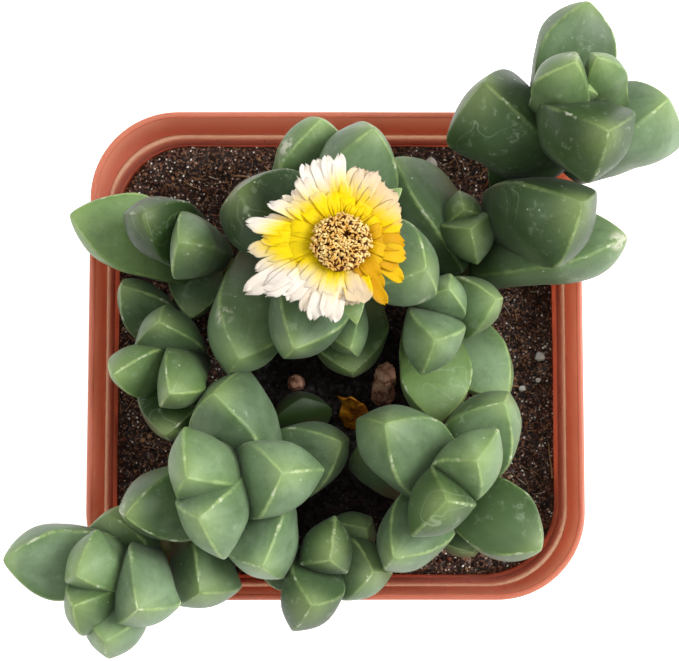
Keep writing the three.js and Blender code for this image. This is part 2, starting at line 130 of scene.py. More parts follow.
def addPiece(name, parts, material, slotName, *nodes):
    # One mesh from closed skins given in millimetres, riding on the object's one body,
    # in place of the nodes that are named
    shifts = np.cumsum([0] + [len(part["points"]) for part in parts])
    points = np.concatenate([part["points"] for part in parts]) * millimetre
    quads = np.concatenate([part["quads"] + shift for part, shift in zip(parts, shifts)])
    fans = np.concatenate([part["fans"] + shift for part, shift in zip(parts, shifts)])
    mesh = bpy.data.meshes.new(name)
    mesh.from_pydata(points.tolist(), [], quads.tolist() + fans.tolist())
    places = np.concatenate([part["quadPlaces"].reshape(-1, 2) for part in parts]
                            + [part["fanPlaces"].reshape(-1, 2) for part in parts])
    mesh.uv_layers.new(name="surfacePlace").data.foreach_set("uv", places.astype(np.float32).ravel())
    for field in sorted({field for part in parts for field in part["fields"]}):
        values = np.concatenate([part["fields"].get(field, np.zeros(len(part["points"])))
                                 for part in parts])
        mesh.attributes.new(field, "FLOAT", "POINT").data.foreach_set("value", values.astype(np.float32))
    mesh.polygons.foreach_set("use_smooth", np.ones(len(mesh.polygons), bool))
    mesh.update()
    mesh.materials.append(material)
    piece = link(name, mesh)
    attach(piece, "root")
    if nodes:
        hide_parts(*nodes)
    print(name, len(quads) * 2 + len(fans), "triangles")


def smoothPath(stops, steps):
    # Curve through the stops: between two of them it is the cubic whose slopes follow
    # the neighbours, each stretch weighed by the root of its length
    stops = np.array(stops, float)
    stops = np.concatenate([[2 * stops[0] - stops[1]], stops, [2 * stops[-1] - stops[-2]]])
    before, start, end, after = stops[:-3], stops[1:-2], stops[2:-1], stops[3:]
    d0, d1, d2 = (np.sqrt(lengthOf(b - a)) for a, b in ((before, start), (start, end), (end, after)))
    leave = ((start - before) / d0 - (end - before) / (d0 + d1) + (end - start) / d1) * d1
    reach = ((end - start) / d1 - (after - start) / (d1 + d2) + (after - end) / d2) * d1
    t = np.linspace(0, 1, steps, endpoint=False)[None, :, None]
    start, end, leave, reach = (value[:, None] for value in (start, end, leave, reach))
    curve = start + leave * t + (3 * (end - start) - 2 * leave - reach) * t ** 2
    curve = curve + (2 * (start - end) + leave + reach) * t ** 3
    return np.concatenate([curve.reshape(-1, 3), stops[-2:-1]])


def tubeShell(path, radii, columns, wobble=0, flat=1, reference=(1, 0, 0), fields=None):
    # Rings of the given radii round one or many paths, (tubes, rows, 3): each ring stands
    # square to the path, flattened by a share, and bulges by a share that turns along it
    path = np.asarray(path, float)
    path = path[None] if path.ndim == 2 else path
    radii = np.broadcast_to(radii, path.shape[:2])
    tangent = unit(np.gradient(path, axis=1))
    side = unit(np.cross(tangent, np.array(reference, float)))
    up = np.cross(side, tangent)
    angle = turns(columns)
    row = np.arange(path.shape[1])[None, :, None]
    swelling = 1 + wobble * np.sin(3 * angle + 0.9 * row) * np.sin(0.7 * row + angle)
    size = (radii[..., None] * swelling)[..., None]
    rings = path[:, :, None] + size * (np.cos(angle)[:, None] * side[:, :, None]
                                      + flat * np.sin(angle)[:, None] * up[:, :, None])
    return shellFrom(rings, path[:, [0, -1]], fields=fields)


def turnedShell(centre, profile, columns, lobes=0, lobeDepth=0, fields=None):
    # Profile of radius and height turned round an upright axis, with shallow lobes
    profile = np.array(profile, float)
    angle = turns(columns)
    radius = profile[:, :1] * (1 + lobeDepth * np.cos(lobes * angle))
    height = np.broadcast_to(profile[:, 1:], radius.shape)[..., None]
    rings = np.concatenate([centre + polar(radius, angle), height], -1)[None]
    ends = np.array([[[*centre, profile[0, 1]], [*centre, profile[-1, 1]]]])
    return shellFrom(rings, ends, fields=fields)


def gridNoise(places, seed):
    # Smooth random heights from -1 to 1: a random number at each whole place, mixed
    # between the eight round a point by smooth steps
    places = np.asarray(places, float)
    whole = np.floor(places).astype(np.int64)
    share = places - whole
    share = share * share * (3 - 2 * share)

    def heightAt(shift):
        # whole numbers stirred by large primes and bit shifts
        key = ((whole + shift) * np.array([73856093, 19349663, 83492791])).sum(-1) + seed * 2654435761
        key = (key ^ (key >> 13)) * 1274126177 & 0x7FFFFFFF
        return (key ^ (key >> 16)) % 65536 / 32767.5 - 1

    total = 0
    for corner in np.ndindex(2, 2, 2):
        corner = np.array(corner)
        total = total + np.prod(np.where(corner == 1, share, 1 - share), -1) * heightAt(corner)
    return total


# Materials

making = {}                  # the material that is being made, its node tree and its shader


class Wire:
    # One output of a node. Sums and products of wires put math nodes into the material.
    def __init__(self, socket):
        self.socket = socket

    def __add__(self, other):
        return sums("ADD", self, other)

    def __sub__(self, other):
        return sums("SUBTRACT", self, other)

    def __rsub__(self, other):
        return sums("SUBTRACT", other, self)

    def __mul__(self, other):
        return sums("MULTIPLY", self, other)


def put(kind, output=0, settings=None, **inputs):
    # Adds a node and gives back the output that is named, or all of them for None. An
    # input is named, or is i and its number.
    node = making["tree"].nodes.new(kind)
    for setting, value in (settings or {}).items():
        setattr(node, setting, value)
    for socket, value in inputs.items():
        target = node.inputs[int(socket[1:])] if socket[1:].isdigit() else node.inputs[socket]
        if isinstance(value, Wire):
            making["tree"].links.new(value.socket, target)
        else:
            target.default_value = value
    return [Wire(socket) for socket in node.outputs] if output is None else Wire(node.outputs[output])


def openMaterial(name, values):
    # Starts a material with its shader's own values, and gives back its Object coordinates
    material = bpy.data.materials.new(name)
    material.use_nodes = True
    tree = material.node_tree
    making.update(material=material, tree=tree, shader=tree.nodes["Principled BSDF"])
    for socket, value in values.items():
        making["shader"].inputs[socket].default_value = value
    return put("ShaderNodeTexCoord", "Object")


def finishMaterial(base, roughness, height, strength, distance):
    # Joins colour, roughness unless it is None, and a bump to the shader
    bump = put("ShaderNodeBump", Strength=strength, Distance=distance, Height=height)
    for socket, value in (("Base Color", base), ("Roughness", roughness), ("Normal", bump)):
        if value is not None:
            making["tree"].links.new(value.socket, making["shader"].inputs[socket])
    return making["material"]


def sums(way, *values):
    inputs = {f"i{number}": value for number, value in enumerate(values)}
    return put("ShaderNodeMath", 0, {"operation": way}, **inputs)


# shadow is the colour of the darkening that is partly painted shade, root the colour of painted shade at
# the roots and on leaves in deep shade, and ridge also the colour of painted light in the ridges
leafColours = {
    "shade": "43593A", "bloom": "89A37E", "fresh": "5A7F31", "young": "86A65A", "ridge": "B4CB80",
    "worn": "E3E8D2", "stain": "B2C2A6", "bark": "6F6A3E", "stem": "8B8A58", "shadow": "66833C",
    "root": "21360F", "scar": "C9CBB2",
}


def colour(code):
    # Colour of a painter's code such as B0533C, or of a name in the table, in the light's
    # own scale, its gamma taken out
    code = leafColours.get(code, code)
    shares = [int(code[at:at + 2], 16) / 255 for at in (0, 2, 4)]
    return [share / 12.92 if share <= 0.04045 else ((share + 0.055) / 1.055) ** 2.4
            for share in shares] + [1.0]


def mixColour(share, first, second, way="MIX"):
    # Between two colours or wires, or their product, by a share of the second
    first, second = (colour(value) if isinstance(value, str) else value for value in (first, second))
    return put("ShaderNodeMix", 2, {"data_type": "RGBA", "blend_type": way}, i0=share, i6=first, i7=second)


def coats(base, *layers):
    # Coats of colour one over the other, each with the share that covers what is below
    for share, tint in layers:
        base = mixColour(share, base, tint)
    return base


def colourStops(value, stops, steps=False):
    # Colour that follows a value through stops, smoothly or in steps
    ramped = put("ShaderNodeValToRGB", Fac=value)
    band = ramped.socket.node.color_ramp
    band.interpolation = "CONSTANT" if steps else "LINEAR"
    while len(band.elements) < len(stops):
        band.elements.new(0.5)
    for element, (position, code) in zip(band.elements, stops):
        element.position = position
        element.color = colour(code)
    return ramped


def noiseAt(place, scale, detail=2, roughness=0.5, distortion=0):
    return put("ShaderNodeTexNoise", "Fac", Vector=place, Scale=scale, Detail=detail,
               Roughness=roughness, Distortion=distortion)


def cellsAt(place, scale):
    # Distance to the nearest of scattered points, and three random numbers for each
    cells = put("ShaderNodeTexVoronoi", None, Vector=place, Scale=scale)
    return cells[0], put("ShaderNodeSeparateColor", None, Color=cells[1])


def ramp(value, low, high, start=0, end=1):
    # From start to end as the value goes from low to high, clamped
    inputs = {"Value": value, "From Min": low, "From Max": high, "To Min": start, "To Max": end}
    return put("ShaderNodeMapRange", 0, {"interpolation_type": "SMOOTHSTEP"}, **inputs)


def attributes(*names):
    return [put("ShaderNodeAttribute", "Fac", {"attribute_name": name}) for name in names]


def apart(place):
    # The three coordinates of a place
    return put("ShaderNodeSeparateXYZ", None, Vector=place)


# Leaves

leafValues = {
    "rings": 40,             # rings from the root of a leaf to its tip
    "sidePoints": 16,        # points on each of its three sides
    "sideBulge": 0.21,       # how far a side bulges, as a share of its width
    "faceBulge": 0.09,       # the same for the inner face
    "faceBelly": 0.35,       # rise of the inner face along the leaf, as a share of its length
    "ridgePasses": 5,        # rounding of the ridges
    "tipRounding": 0.012,    # share of the length that the tip is rounded over
    "unevenness": 0.012,     # share of its size that a section swells by
    "fleshyShare": 0.6,      # how much of a bulge is a parabola, and the rest a squared sine
    "faceTurn": 0.8,         # how far an inner face looks away from its keel
    "tipReach": 2.2,         # millimetres round the tip that are paler
    "rootShadeReach": 0.34,       # share of the leaf that is painted darker at its root, painted shade
    "stemRadius": 2.0,
    "darkening": 0.75,       # how much darker the darkest leaf is than the palest, partly painted shade
}
marginShape = (0.74, 0.56, 1.9, 0.95)   # share at the root, widest place, fall, fall at the tip
keelShape = (0.72, 0.68, 1.9, 0.9)


def swell(along, atRoot, widestAt, power, tipPower):
    # Share of the full size: a sine up to the widest place, then a rounded fall to the tip
    rising = atRoot + (1 - atRoot) * np.sin(np.clip(along / widestAt, 0, 1) * np.pi / 2)
    fall = np.clip((along - widestAt) / (1 - widestAt), 0, 1)
    return np.where(along < widestAt, rising, (1 - fall ** power) ** tipPower)


# Rough pale scars: place on a leaf, how far each spreads, and how dense it is
scars = (
    (-38.5, -29.3, 101, 2.6, 1.0), (50, 18, 97, 2.0, 0.9), (53, 19.5, 95, 1.6, 0.8),
    (38.8, 44, 123, 1.5, 0.7), (14.6, 7.6, 104, 1.9, 0.55), (-19.4, 4.5, 99, 2.0, 0.6),
    (-18.6, 1, 98, 1.6, 0.5), (-8.2, 35, 95, 1.8, 0.9), (13, -37, 90, 2.6, 0.45),
    (16.5, -35.5, 90, 2.2, 0.45), (24.6, -2.5, 90, 1.2, 0.6), (23.4, -7, 88, 1.2, 0.6),
    (54, 16, 94, 1.2, 0.7), (-31, -24, 104, 1.2, 0.4), (1, 30, 106, 1.4, 0.4),
)


def scarring(rings):
    # Density at each point: the strongest of the scars, each fading as a bell
    dense = np.zeros(rings.shape[:3])
    for x, y, z, spread, strength in scars:
        distance = lengthOf(rings - np.array([x, y, z]))[..., 0]
        dense = np.maximum(dense, strength * np.exp(-(distance / spread) ** 2))
    return dense


def leafShell(lean, leaves, draw):
    # Keeled leaves: a three-sided section carried from root to tip. One flat inner face
    # looks to the shoot's axis and two bulging sides meet at the keel; the section's
    # width and depth follow swell, and its ridges are rounded by averaging neighbours.
    roots, tips = (np.array([leaf[at] for leaf in leaves], float) for at in (0, 1))
    wide, deep, keel, lift, tone, fresh = (
        np.array([leaf[at] for leaf in leaves], float)[:, None] for at in range(2, 8))
    length, forward = lengthOf(tips - roots), unit(tips - roots)
    keel = np.radians(keel)
    away = np.concatenate([np.cos(keel), np.sin(keel), 0 * keel], 1)
    away = unit(away - (away * lean).sum(-1, keepdims=True) * lean)
    inward = lean * lift - leafValues["faceTurn"] * away
    inward = unit(inward - (inward * forward).sum(-1, keepdims=True) * forward)
    side = np.cross(forward, inward)

    rows, sidePoints, tip = (leafValues[value] for value in ("rings", "sidePoints", "tipRounding"))
    along = 1 - (1 - np.linspace(0, 1, rows + 1)[:-1]) ** 1.5
    before = tip + (1 - tip) * (1 - along)
    rounding = np.sqrt(1 - (tip / before) ** 2)
    half = wide / 2 * swell(1 - before, *marginShape) * rounding
    depth = deep * swell(1 - before, *keelShape) * rounding
    zero = 0 * half
    corners = np.stack([np.stack(pair, -1) for pair in ((half, zero), (-half, zero), (zero, -depth))], 2)
    chord = np.roll(corners, -1, 2) - corners
    share = 0.5 - 0.5 * np.cos(np.pi * np.arange(sidePoints) / sidePoints)
    fleshy = leafValues["fleshyShare"]
    bulge = fleshy * 4 * share * (1 - share) + (1 - fleshy) * np.sin(np.pi * share) ** 2
    bulge = np.array([leafValues["faceBulge"]] + [leafValues["sideBulge"]] * 2)[:, None] * bulge
    outward = np.stack([chord[..., 1], -chord[..., 0]], -1)
    section = corners[..., None, :] + chord[..., None, :] * share[:, None]
    section = section + outward[..., None, :] * bulge[..., None]
    edge = lengthOf(chord) * np.minimum(share, 1 - share)  # distance to the nearest ridge
    count, columns = len(leaves), 3 * sidePoints
    section = section.reshape(count, rows, columns, 2)
    edge = edge.reshape(count, rows, columns)
    for _ in range(leafValues["ridgePasses"]):
        section = section / 2 + (np.roll(section, 1, 2) + np.roll(section, -1, 2)) / 4

    angle = turns(columns)
    phase = draw.uniform(0, 2 * np.pi, (4, count, 1, 1))
    place = along[None, :, None] * 2 * np.pi
    wave = np.sin(1.2 * place + 2 * angle + phase[0]) + 0.6 * np.sin(2.3 * place - 3 * angle + phase[1])
    wave = wave + 0.5 * np.sin(3.7 * place + angle + phase[2])
    section = section * (1 + leafValues["unevenness"] * wave[..., None])
    rise = leafValues["faceBelly"] * length * along * (1 - along) ** 0.8
    middle = roots[:, None] + forward[:, None] * (along * length)[..., None]
    rings = middle[:, :, None] + side[:, None, None] * section[..., :1]
    rings = rings + inward[:, None, None] * (rise[:, :, None, None] + section[..., 1:])
    ends = np.stack([rings[:, 0].mean(1), tips], 1)

    toTip = ((1 - along) * length)[..., None]
    across = np.append((np.arange(3)[:, None] + share).ravel() / 3, 1.0)
    fields = {
        "ridgeWay": edge,
        "tipNear": np.exp(-(toTip / leafValues["tipReach"]) ** 2),
        "rootNear": np.exp(-(along[None, :, None] / leafValues["rootShadeReach"]) ** 2),
        "leafTone": tone[..., None],
        "youth": fresh[..., None],
        "scar": scarring(rings),
    }
    return shellFrom(rings, ends, across, along, fields)


def stemShell(stops, radius):
    # A stem on a smooth path, a little thicker at the rings where leaves once grew
    path = smoothPath(stops, 14)
    row = np.arange(len(path))
    radii = radius * (1 + 0.07 * np.exp(-((row % 7 - 3) / 1.2) ** 2) - 0.03)
    fields = {"stemPart": 1.0, "leafTone": 0.5, "ridgeWay": 9.0}
    return tubeShell(path, radii, 24, 0.03, fields=fields)


soilHeight = 66.6
stemDepth = 9

# The shoots. Each has its foot in the soil and the axis that it leans along. A node is a
# place on the stem with its leaves: tip, width, depth, compass angle of the keel, how far
# the inner face looks up along the axis, then how pale and how yellow-green the leaf is.
# The paleness also holds painted shade: leaves that sit in shade get a low or negative
# value and are painted darker, down to nearly black.
# A place after the leaves is where a side stem leaves the main one.
shoots = {
    "shoot_back_right": ((22, 12), (0.1, 0.05, 1), [
        ((38.5, 39.5, 105), [((39, 43, 126), 9.5, 9, 197, 0.3, 0.35, 0.5)], (40.2, 37.6, 100.6)),
        ((46, 39.5, 105), [((42.5, 44, 125), 8, 7, -15, 0.6, 0.45, 0.6)], (40.8, 37.4, 101.3)),
        ((42.5, 39.5, 113), [((41, 39.5, 122), 4, 3.6, 90, 0.6, 0.7, 0.5)]),
        ((39, 39.5, 102), [((43, 57, 111), 14, 12, 88, 0.6, 0.3, 0.1),
            ((44, 31.5, 127), 15.5, 12.5, -95, 0.6, -0.1, 0.45)]),
        ((39.5, 35, 97), [((25, 42.5, 113), 15.5, 15.5, 220, 0.6, -0.05, 0.1),
            ((56, 40, 112), 13.5, 14.5, -32, 0.6, 0.85, 0.1)]),
        ((31.5, 27.5, 90), [((41.5, 22.5, 111), 16, 14.5, -105, 0.6, 0, 0.1),
            ((33, 44, 102), 11, 11, 75, 0.6, 0.2, 0)]),
        ((24.5, 17, 84), [((51, 19, 96), 13.2, 11.8, -20, 0.3, 0.6, 0.2),
            ((10.5, 33.5, 93), 13.5, 12, 185, 0.6, 0.4, 0.1)]),
        ((23, 23.5, 84), [((22.5, 23.5, 97), 7.5, 5.5, 95, 0.6, 0.1, 0.3),
            ((23.5, 20, 98), 9.5, 8.5, -70, 0.6, 0.2, 0.2)], (24.5, 16, 82)),
    ]),
    "shoot_flowering": ((1, 16), (-0.1, 0, 1), [
        ((1, 15.5, 111), [((3.5, 1.5, 114), 5.5, 2.6, -80, 0.6, 0.5, 0.8),
            ((11, 24, 116), 5, 2.4, 40, 0.6, 0.5, 0.8), ((-1, 28, 115), 5.5, 2.6, 95, 0.6, 0.5, 0.8),
            ((-11.5, 17.5, 114), 5.5, 2.6, 165, 0.6, 0.5, 0.8),
            ((-8, 5.5, 114), 5.5, 2.6, 225, 0.6, 0.5, 0.8)]),
        ((1, 17.5, 98), [((15, 11, 112), 14, 13.5, -40, 0.6, 0.55, 0.1),
            ((-16.5, 24, 112), 15.5, 15, 180, 0.4, -0.35, 0.1)]),
        ((0, 18.5, 90), [((6.5, 36, 106), 14, 13, 105, 0.6, 0.3, 0.1),
            ((-7, -2, 109), 14, 12.8, -128, 0.6, 0.33, 0)]),
        ((-7.5, 27, 81), [((-2.5, 39.5, 97), 15, 7.5, 135, 0.6, 0.45, 0.5)], (0.5, 17.5, 79)),
        ((-0.5, 13.5, 78), [((2.5, -1, 98), 9, 8, -60, 0.6, 0.5, 0.1)], (0.7, 16.4, 75)),
        ((1.5, 12.5, 74), [((3, -4, 86), 15, 8.5, -90, 1.3, 0.1, 0.6)], (0.8, 16.2, 71.6)),
        ((-12, 17, 83), [((-16.5, -3, 101), 14.5, 14, -124, 0.6, 0.58, 0.3)], (0.5, 16.5, 70)),
    ]),
    "shoot_left_back": ((-20, 17), (-0.3, 0.05, 1), [
        ((-23.5, 17.5, 88), [((-26.5, 16, 109), 12, 7.5, -5, 0.6, 0.35, 0.2),
            ((-33, 21, 107), 11.5, 10, 165, 0.6, -0.42, 0.3)]),
        ((-25, 19, 76), [((-26, 6, 84), 10, 5.5, -110, 0.6, 0.1, 0)]),
        ((-23.5, 17, 80), [((-47, 23.5, 92), 14.5, 10.5, 175, 1.2, 0.48, 1)]),
    ]),
    "shoot_left": ((-26, 1), (-0.3, -0.35, 1), [
        ((-28, -1.5, 82), [((-28.5, -9, 101), 10.5, 8, -8, 0.6, 0.3, 0.6),
            ((-38.5, -5.5, 97), 10, 7, 155, 0.6, 0.3, 0.7)]),
        ((-28, -0.5, 78), [((-30.5, 3.5, 99), 12.5, 7, 95, 0.6, 0.15, 0.1),
            ((-30, -15.5, 91), 12.5, 8, -105, 1.3, -0.2, 0)]),
        ((-28, 1.5, 72), [((-38, 11, 90), 9.5, 8, 130, 0.6, 0.1, 0)]),
    ]),
    "shoot_centre": ((-14.5, -22.5), (-0.2, -0.15, 1), [
        ((-19, -24, 92), [((-24.5, -24, 114), 10.5, 11.5, 105, 0.6, 0.68, 0.35),
            ((-22.5, -30.5, 113), 11.5, 11.5, -75, 0.6, 0.74, 0.15)]),
        ((-17, -24.5, 88), [((-9, -23, 110), 13.5, 12.5, 5, 0.6, 0.95, 0.1),
            ((-35.5, -30, 103), 13, 12, 180, 0.6, 0.2, 0.2)]),
        ((-14.5, -23.5, 80), [((-21, -9, 100), 15, 13.5, 70, 0.6, 0.52, 0),
            ((-12.5, -38.5, 102), 14.5, 11, -60, 0.6, 0.95, 0)]),
        ((-15.5, -23, 74), [((1, -17, 92), 13.5, 10.5, 25, 0.6, 0.4, 0)]),
    ]),
    "shoot_front_left": ((-29, -33), (-0.35, -0.1, 1), [
        ((-38.5, -41, 90), [((-43.5, -40, 106), 9, 10, 80, 0.6, 0.65, 0.35),
            ((-44, -45, 105), 8.5, 8.5, -100, 0.6, 0.4, 0.2)]),
        ((-36, -38, 88), [((-57, -37.5, 97), 13, 11.5, 165, 0.6, 0.8, 0),
            ((-33, -45.5, 108), 13, 10, -10, 0.6, 0.75, 0)]),
        ((-36, -39.5, 86), [((-39, -51, 102), 11.5, 10, -112, 0.6, 0.6, 0),
            ((-40, -29.5, 92), 14, 10, 80, 0.6, 0.15, 0.2)]),
        ((-28.5, -34.5, 78), [((-23.5, -43, 94), 13, 11, -15, 0.6, 0.3, 0.1)], (-32.5, -37, 74)),
    ]),
    "shoot_front_right": ((18.5, -23.5), (0.1, 0, 1), [
        ((19.5, -24.5, 90), [((23.5, -21, 110), 10, 11, 50, 0.6, 0.65, 0.45),
            ((18.5, -27.5, 110), 10.2, 11, -130, 0.6, 0, 0.55)]),
        ((20.5, -24.5, 86), [((8.5, -14.5, 104), 13.5, 14.5, 150, 0.6, 0.5, 0.1),
            ((35.5, -35.5, 95), 13.5, 10, -40, 0.9, 0.05, 0.3)]),
        ((20.5, -24, 80), [((29, -10.5, 99), 13.5, 11.5, 55, 0.6, 0.4, 0.2),
            ((10, -37, 98), 12, 11.5, -125, 0.6, 0.5, 0)]),
        ((19, -24, 74), [((5.5, -16.5, 88), 11.5, 11, 200, 0.6, 0.1, 0),
            ((24.5, -36, 84), 11, 8, -60, 0.6, 0.4, 0)]),
    ]),
    "shoot_right": ((17.5, 4.5), (0.05, -0.15, 1), [
        ((17.5, 6.5, 84), [((19.5, 9, 101), 9.5, 6, 75, 0.6, 0.9, 0.1),
            ((17, 0, 103), 10.5, 10, -105, 0.6, 0.75, 0.1)]),
        ((17, 7, 79), [((28, 8, 95), 11.5, 7.5, 5, 1.2, 0.6, 0.35)]),
        ((17.5, 7, 76), [((18.5, -13, 84), 13.5, 10, -90, 1.5, 0.5, 1)]),
        ((19.5, 7.5, 74), [((31, -8, 82), 12, 9, -50, 0.9, 0.9, 0.2)]),
    ]),
    "shoot_front": ((-3, -34.5), (0.05, -0.25, 1), [
        ((-3, -37.5, 85), [((-4, -45, 99), 10.5, 10.5, -115, 0.6, 0, 0),
            ((-1, -37.5, 100), 8.5, 9.5, 80, 0.6, -0.05, 0)]),
        ((-3, -38, 80), [((6.5, -39.5, 91), 11.5, 10, -15, 0.6, 0.3, 0.1),
            ((-14, -39, 84.5), 8.5, 5.5, 170, 0.6, 0.1, 0)]),
        ((-3, -37, 76), [((5.5, -32, 86), 9.5, 8, 40, 0.6, 0.3, 0.2)]),
    ]),
    "shoot_low": ((-6.5, -15.5), (0.1, 1, 1), [
        ((-6.5, -14.5, 71.5), [((-6, -8, 78), 11.5, 5.5, 100, 1.2, -1, 0)]),
    ]),
}
flowerCentre = (1.0, 14.5)
cupTop = 119.2


def shootParts(name, foot, axis, nodes, draw):
    lean = unit(np.array(axis, float))
    leaves = [(node[0], *leaf) for node in nodes for leaf in node[1]]
    main = sorted((node[0] for node in nodes if len(node) == 2), key=lambda place: place[2])
    stops = [(*foot, soilHeight + rise) for rise in (-stemDepth, 0, 2)] + main
    if name == "shoot_flowering":
        stops.append((*flowerCentre, cupTop - 4))
    stems = [stops] + [[node[2], node[0]] for node in nodes if len(node) == 3]
    return [leafShell(lean, leaves, draw)] + [stemShell(stem, leafValues["stemRadius"]) for stem in stems]


def cupShell():
    # The green cup under the flower: a profile turned round, with five faint ribs
    profile = [(0.4, 109.2), (1.2, 109.25), (2.0, 109.6), (2.6, 111.2), (3.24, 113.2), (4.3, 115.1),
               (5.1, 116.4), (5.38, 117.4), (5.42, 118.6), (5.2, 119.1), (4.6, 119.2), (0.4, 119.2)]
    fields = {"leafTone": 0.4, "youth": 0.3, "ridgeWay": 9.0}
    return turnedShell(flowerCentre, profile, 60, 5, 0.02, fields)


def makeLeafMaterial():
    place = openMaterial("glaucousLeaf", {
        "Roughness": 0.5, "Specular IOR Level": 0.36, "Sheen Weight": 0.06, "Sheen Roughness": 0.5})
    surface = apart(put("ShaderNodeUVMap", "UV", {"uv_map": "surfacePlace"}))
    ridgeWay, tone, youth, tipNear, rootNear, scar, stemPart = attributes(
        "ridgeWay", "leafTone", "youth", "tipNear", "rootNear", "scar", "stemPart")
    streakPlace = put("ShaderNodeCombineXYZ", X=surface[0] * 22, Y=surface[1] * 2.4, Z=tone * 61)
    streak = noiseAt(streakPlace, 1, 3, 0.6)
    cloud = noiseAt(place, 85, 3, 0.55, 0.4)
    broad = noiseAt(place, 30, 1)
    fine = noiseAt(place, 420, 4, 0.7)
    fray = (noiseAt(place, 800, 3, 0.7) - 0.5) * 0.9
    ridge = ramp(ridgeWay + fray, 0, 0.32, 1, 0)

    # waxy bloom over a darker green, worn thinner in streaks and clouds
    bloomShare = ramp(cloud, 0.32, 0.68, 0.1, 0.5) + ramp(streak, 0.3, 0.7, 0, 0.14) + tone * 0.3
    freshShare = ramp(ridgeWay, 0, 2.4, 1, 0) * 0.45 * ramp(broad, 0.35, 0.65, 0.5, 1)
    base = coats("shade", (bloomShare, "bloom"), (freshShare, "fresh"), (youth * 0.6, "young"))
    # leaves low in the shoot have shed their bloom and sit in shade: darker and a deeper green, partly
    # painted shade
    bloomLossAndShade = sums("POWER", 1 - tone, 2.2) * leafValues["darkening"]
    base = mixColour(bloomLossAndShade, base, "shadow", "MULTIPLY")

    # thin outlines of dried water drops, stained patches, and pale specks
    drops = sums("ABSOLUTE", noiseAt(place, 120, 0, 0.5, 1.2) - 0.57)
    outline = ramp(drops, 0, 0.012, 1, 0) * ramp(broad, 0.56, 0.68, 0, 0.35)
    patch = ramp(noiseAt(place, 190, 4, 0.65), 0.62, 0.72) * ramp(broad, 0.5, 0.66, 0, 0.5)
    cellWay, cellKind = cellsAt(place, 520)
    speck = ramp(cellWay, 0.06, 0.13, 1, 0) * ramp(cellKind[0], 0.86, 0.92)
    base = coats(base, (outline, "stain"), (patch, "stain"), (ramp(fine, 0.35, 0.5, 0.22, 0), "shade"),
                 (ramp(fine, 0.56, 0.7, 0, 0.2), "stain"), (speck * 0.55, "worn"))

    # painted light: ridges are painted paler, as light shining through them, less so on the leaves painted
    # darker by shade; they are also rubbed nearly white here and there
    ridgeLight = ridge * ramp(noiseAt(place, 160), 0.3, 0.7, 0.08, 0.58) * ramp(tone, -0.5, 0.5, 0.15, 1)
    rubbed = ramp(noiseAt(place, 330, 3, 0.6), 0.56, 0.68) * ramp(ridge, 0.3, 0.9, 0, 0.55)
    scarred = ramp(scar, 0.12, 0.6) * ramp(noiseAt(place, 700, 3, 0.65), 0.42, 0.56)
    bark = mixColour(ramp(cloud, 0.35, 0.65), "bark", "stem")
    # painted shade: dark green at each leaf's root where the leaves crowd, and nearly black over the
    # leaves of the lowest tone, which sit in shade
    base = coats(base, (ridgeLight, "ridge"), (rubbed, "worn"), (tipNear * 0.3, "ridge"),
                 (rootNear * 0.85, "root"), (ramp(tone, -1, -0.1, 0.95, 0), "root"),
                 (scarred, "scar"), (stemPart, bark))
    rough = ramp(cloud, 0.3, 0.7, 0.42, 0.56) + scarred * 0.2
    height = noiseAt(place, 1500, 2, 0.7) * 0.25 + streak * 0.25 + cloud * 1.2
    return finishMaterial(base, rough, height, 0.35, 0.0004)


leafMaterial = makeLeafMaterial()
for number, (name, shoot) in enumerate(shoots.items()):
    parts = shootParts(name, *shoot, np.random.default_rng(40 + number))
    if name == "shoot_flowering":
        parts.append(cupShell())
    addPiece("leaves_" + name, parts, leafMaterial, "leaf", name)


# Flower

flowerValues = {
    "petalRows": 16, "petalColumns": 12, "petalThickness": 0.3, "rootRadius": 3.4, "baseHeight": 119.9,
    "arch": 2.4, "innerPetals": 30, "stamenCount": 430, "stamenShift": (-0.1, -0.7),
    "stamenFoot": 121.5, "stamenTop": 124.8, "stamenSpread": 4.95, "hollow": (0.9, 1.2),
    "colourReach": 20,       # millimetres that the distances in the colours are shares of
}

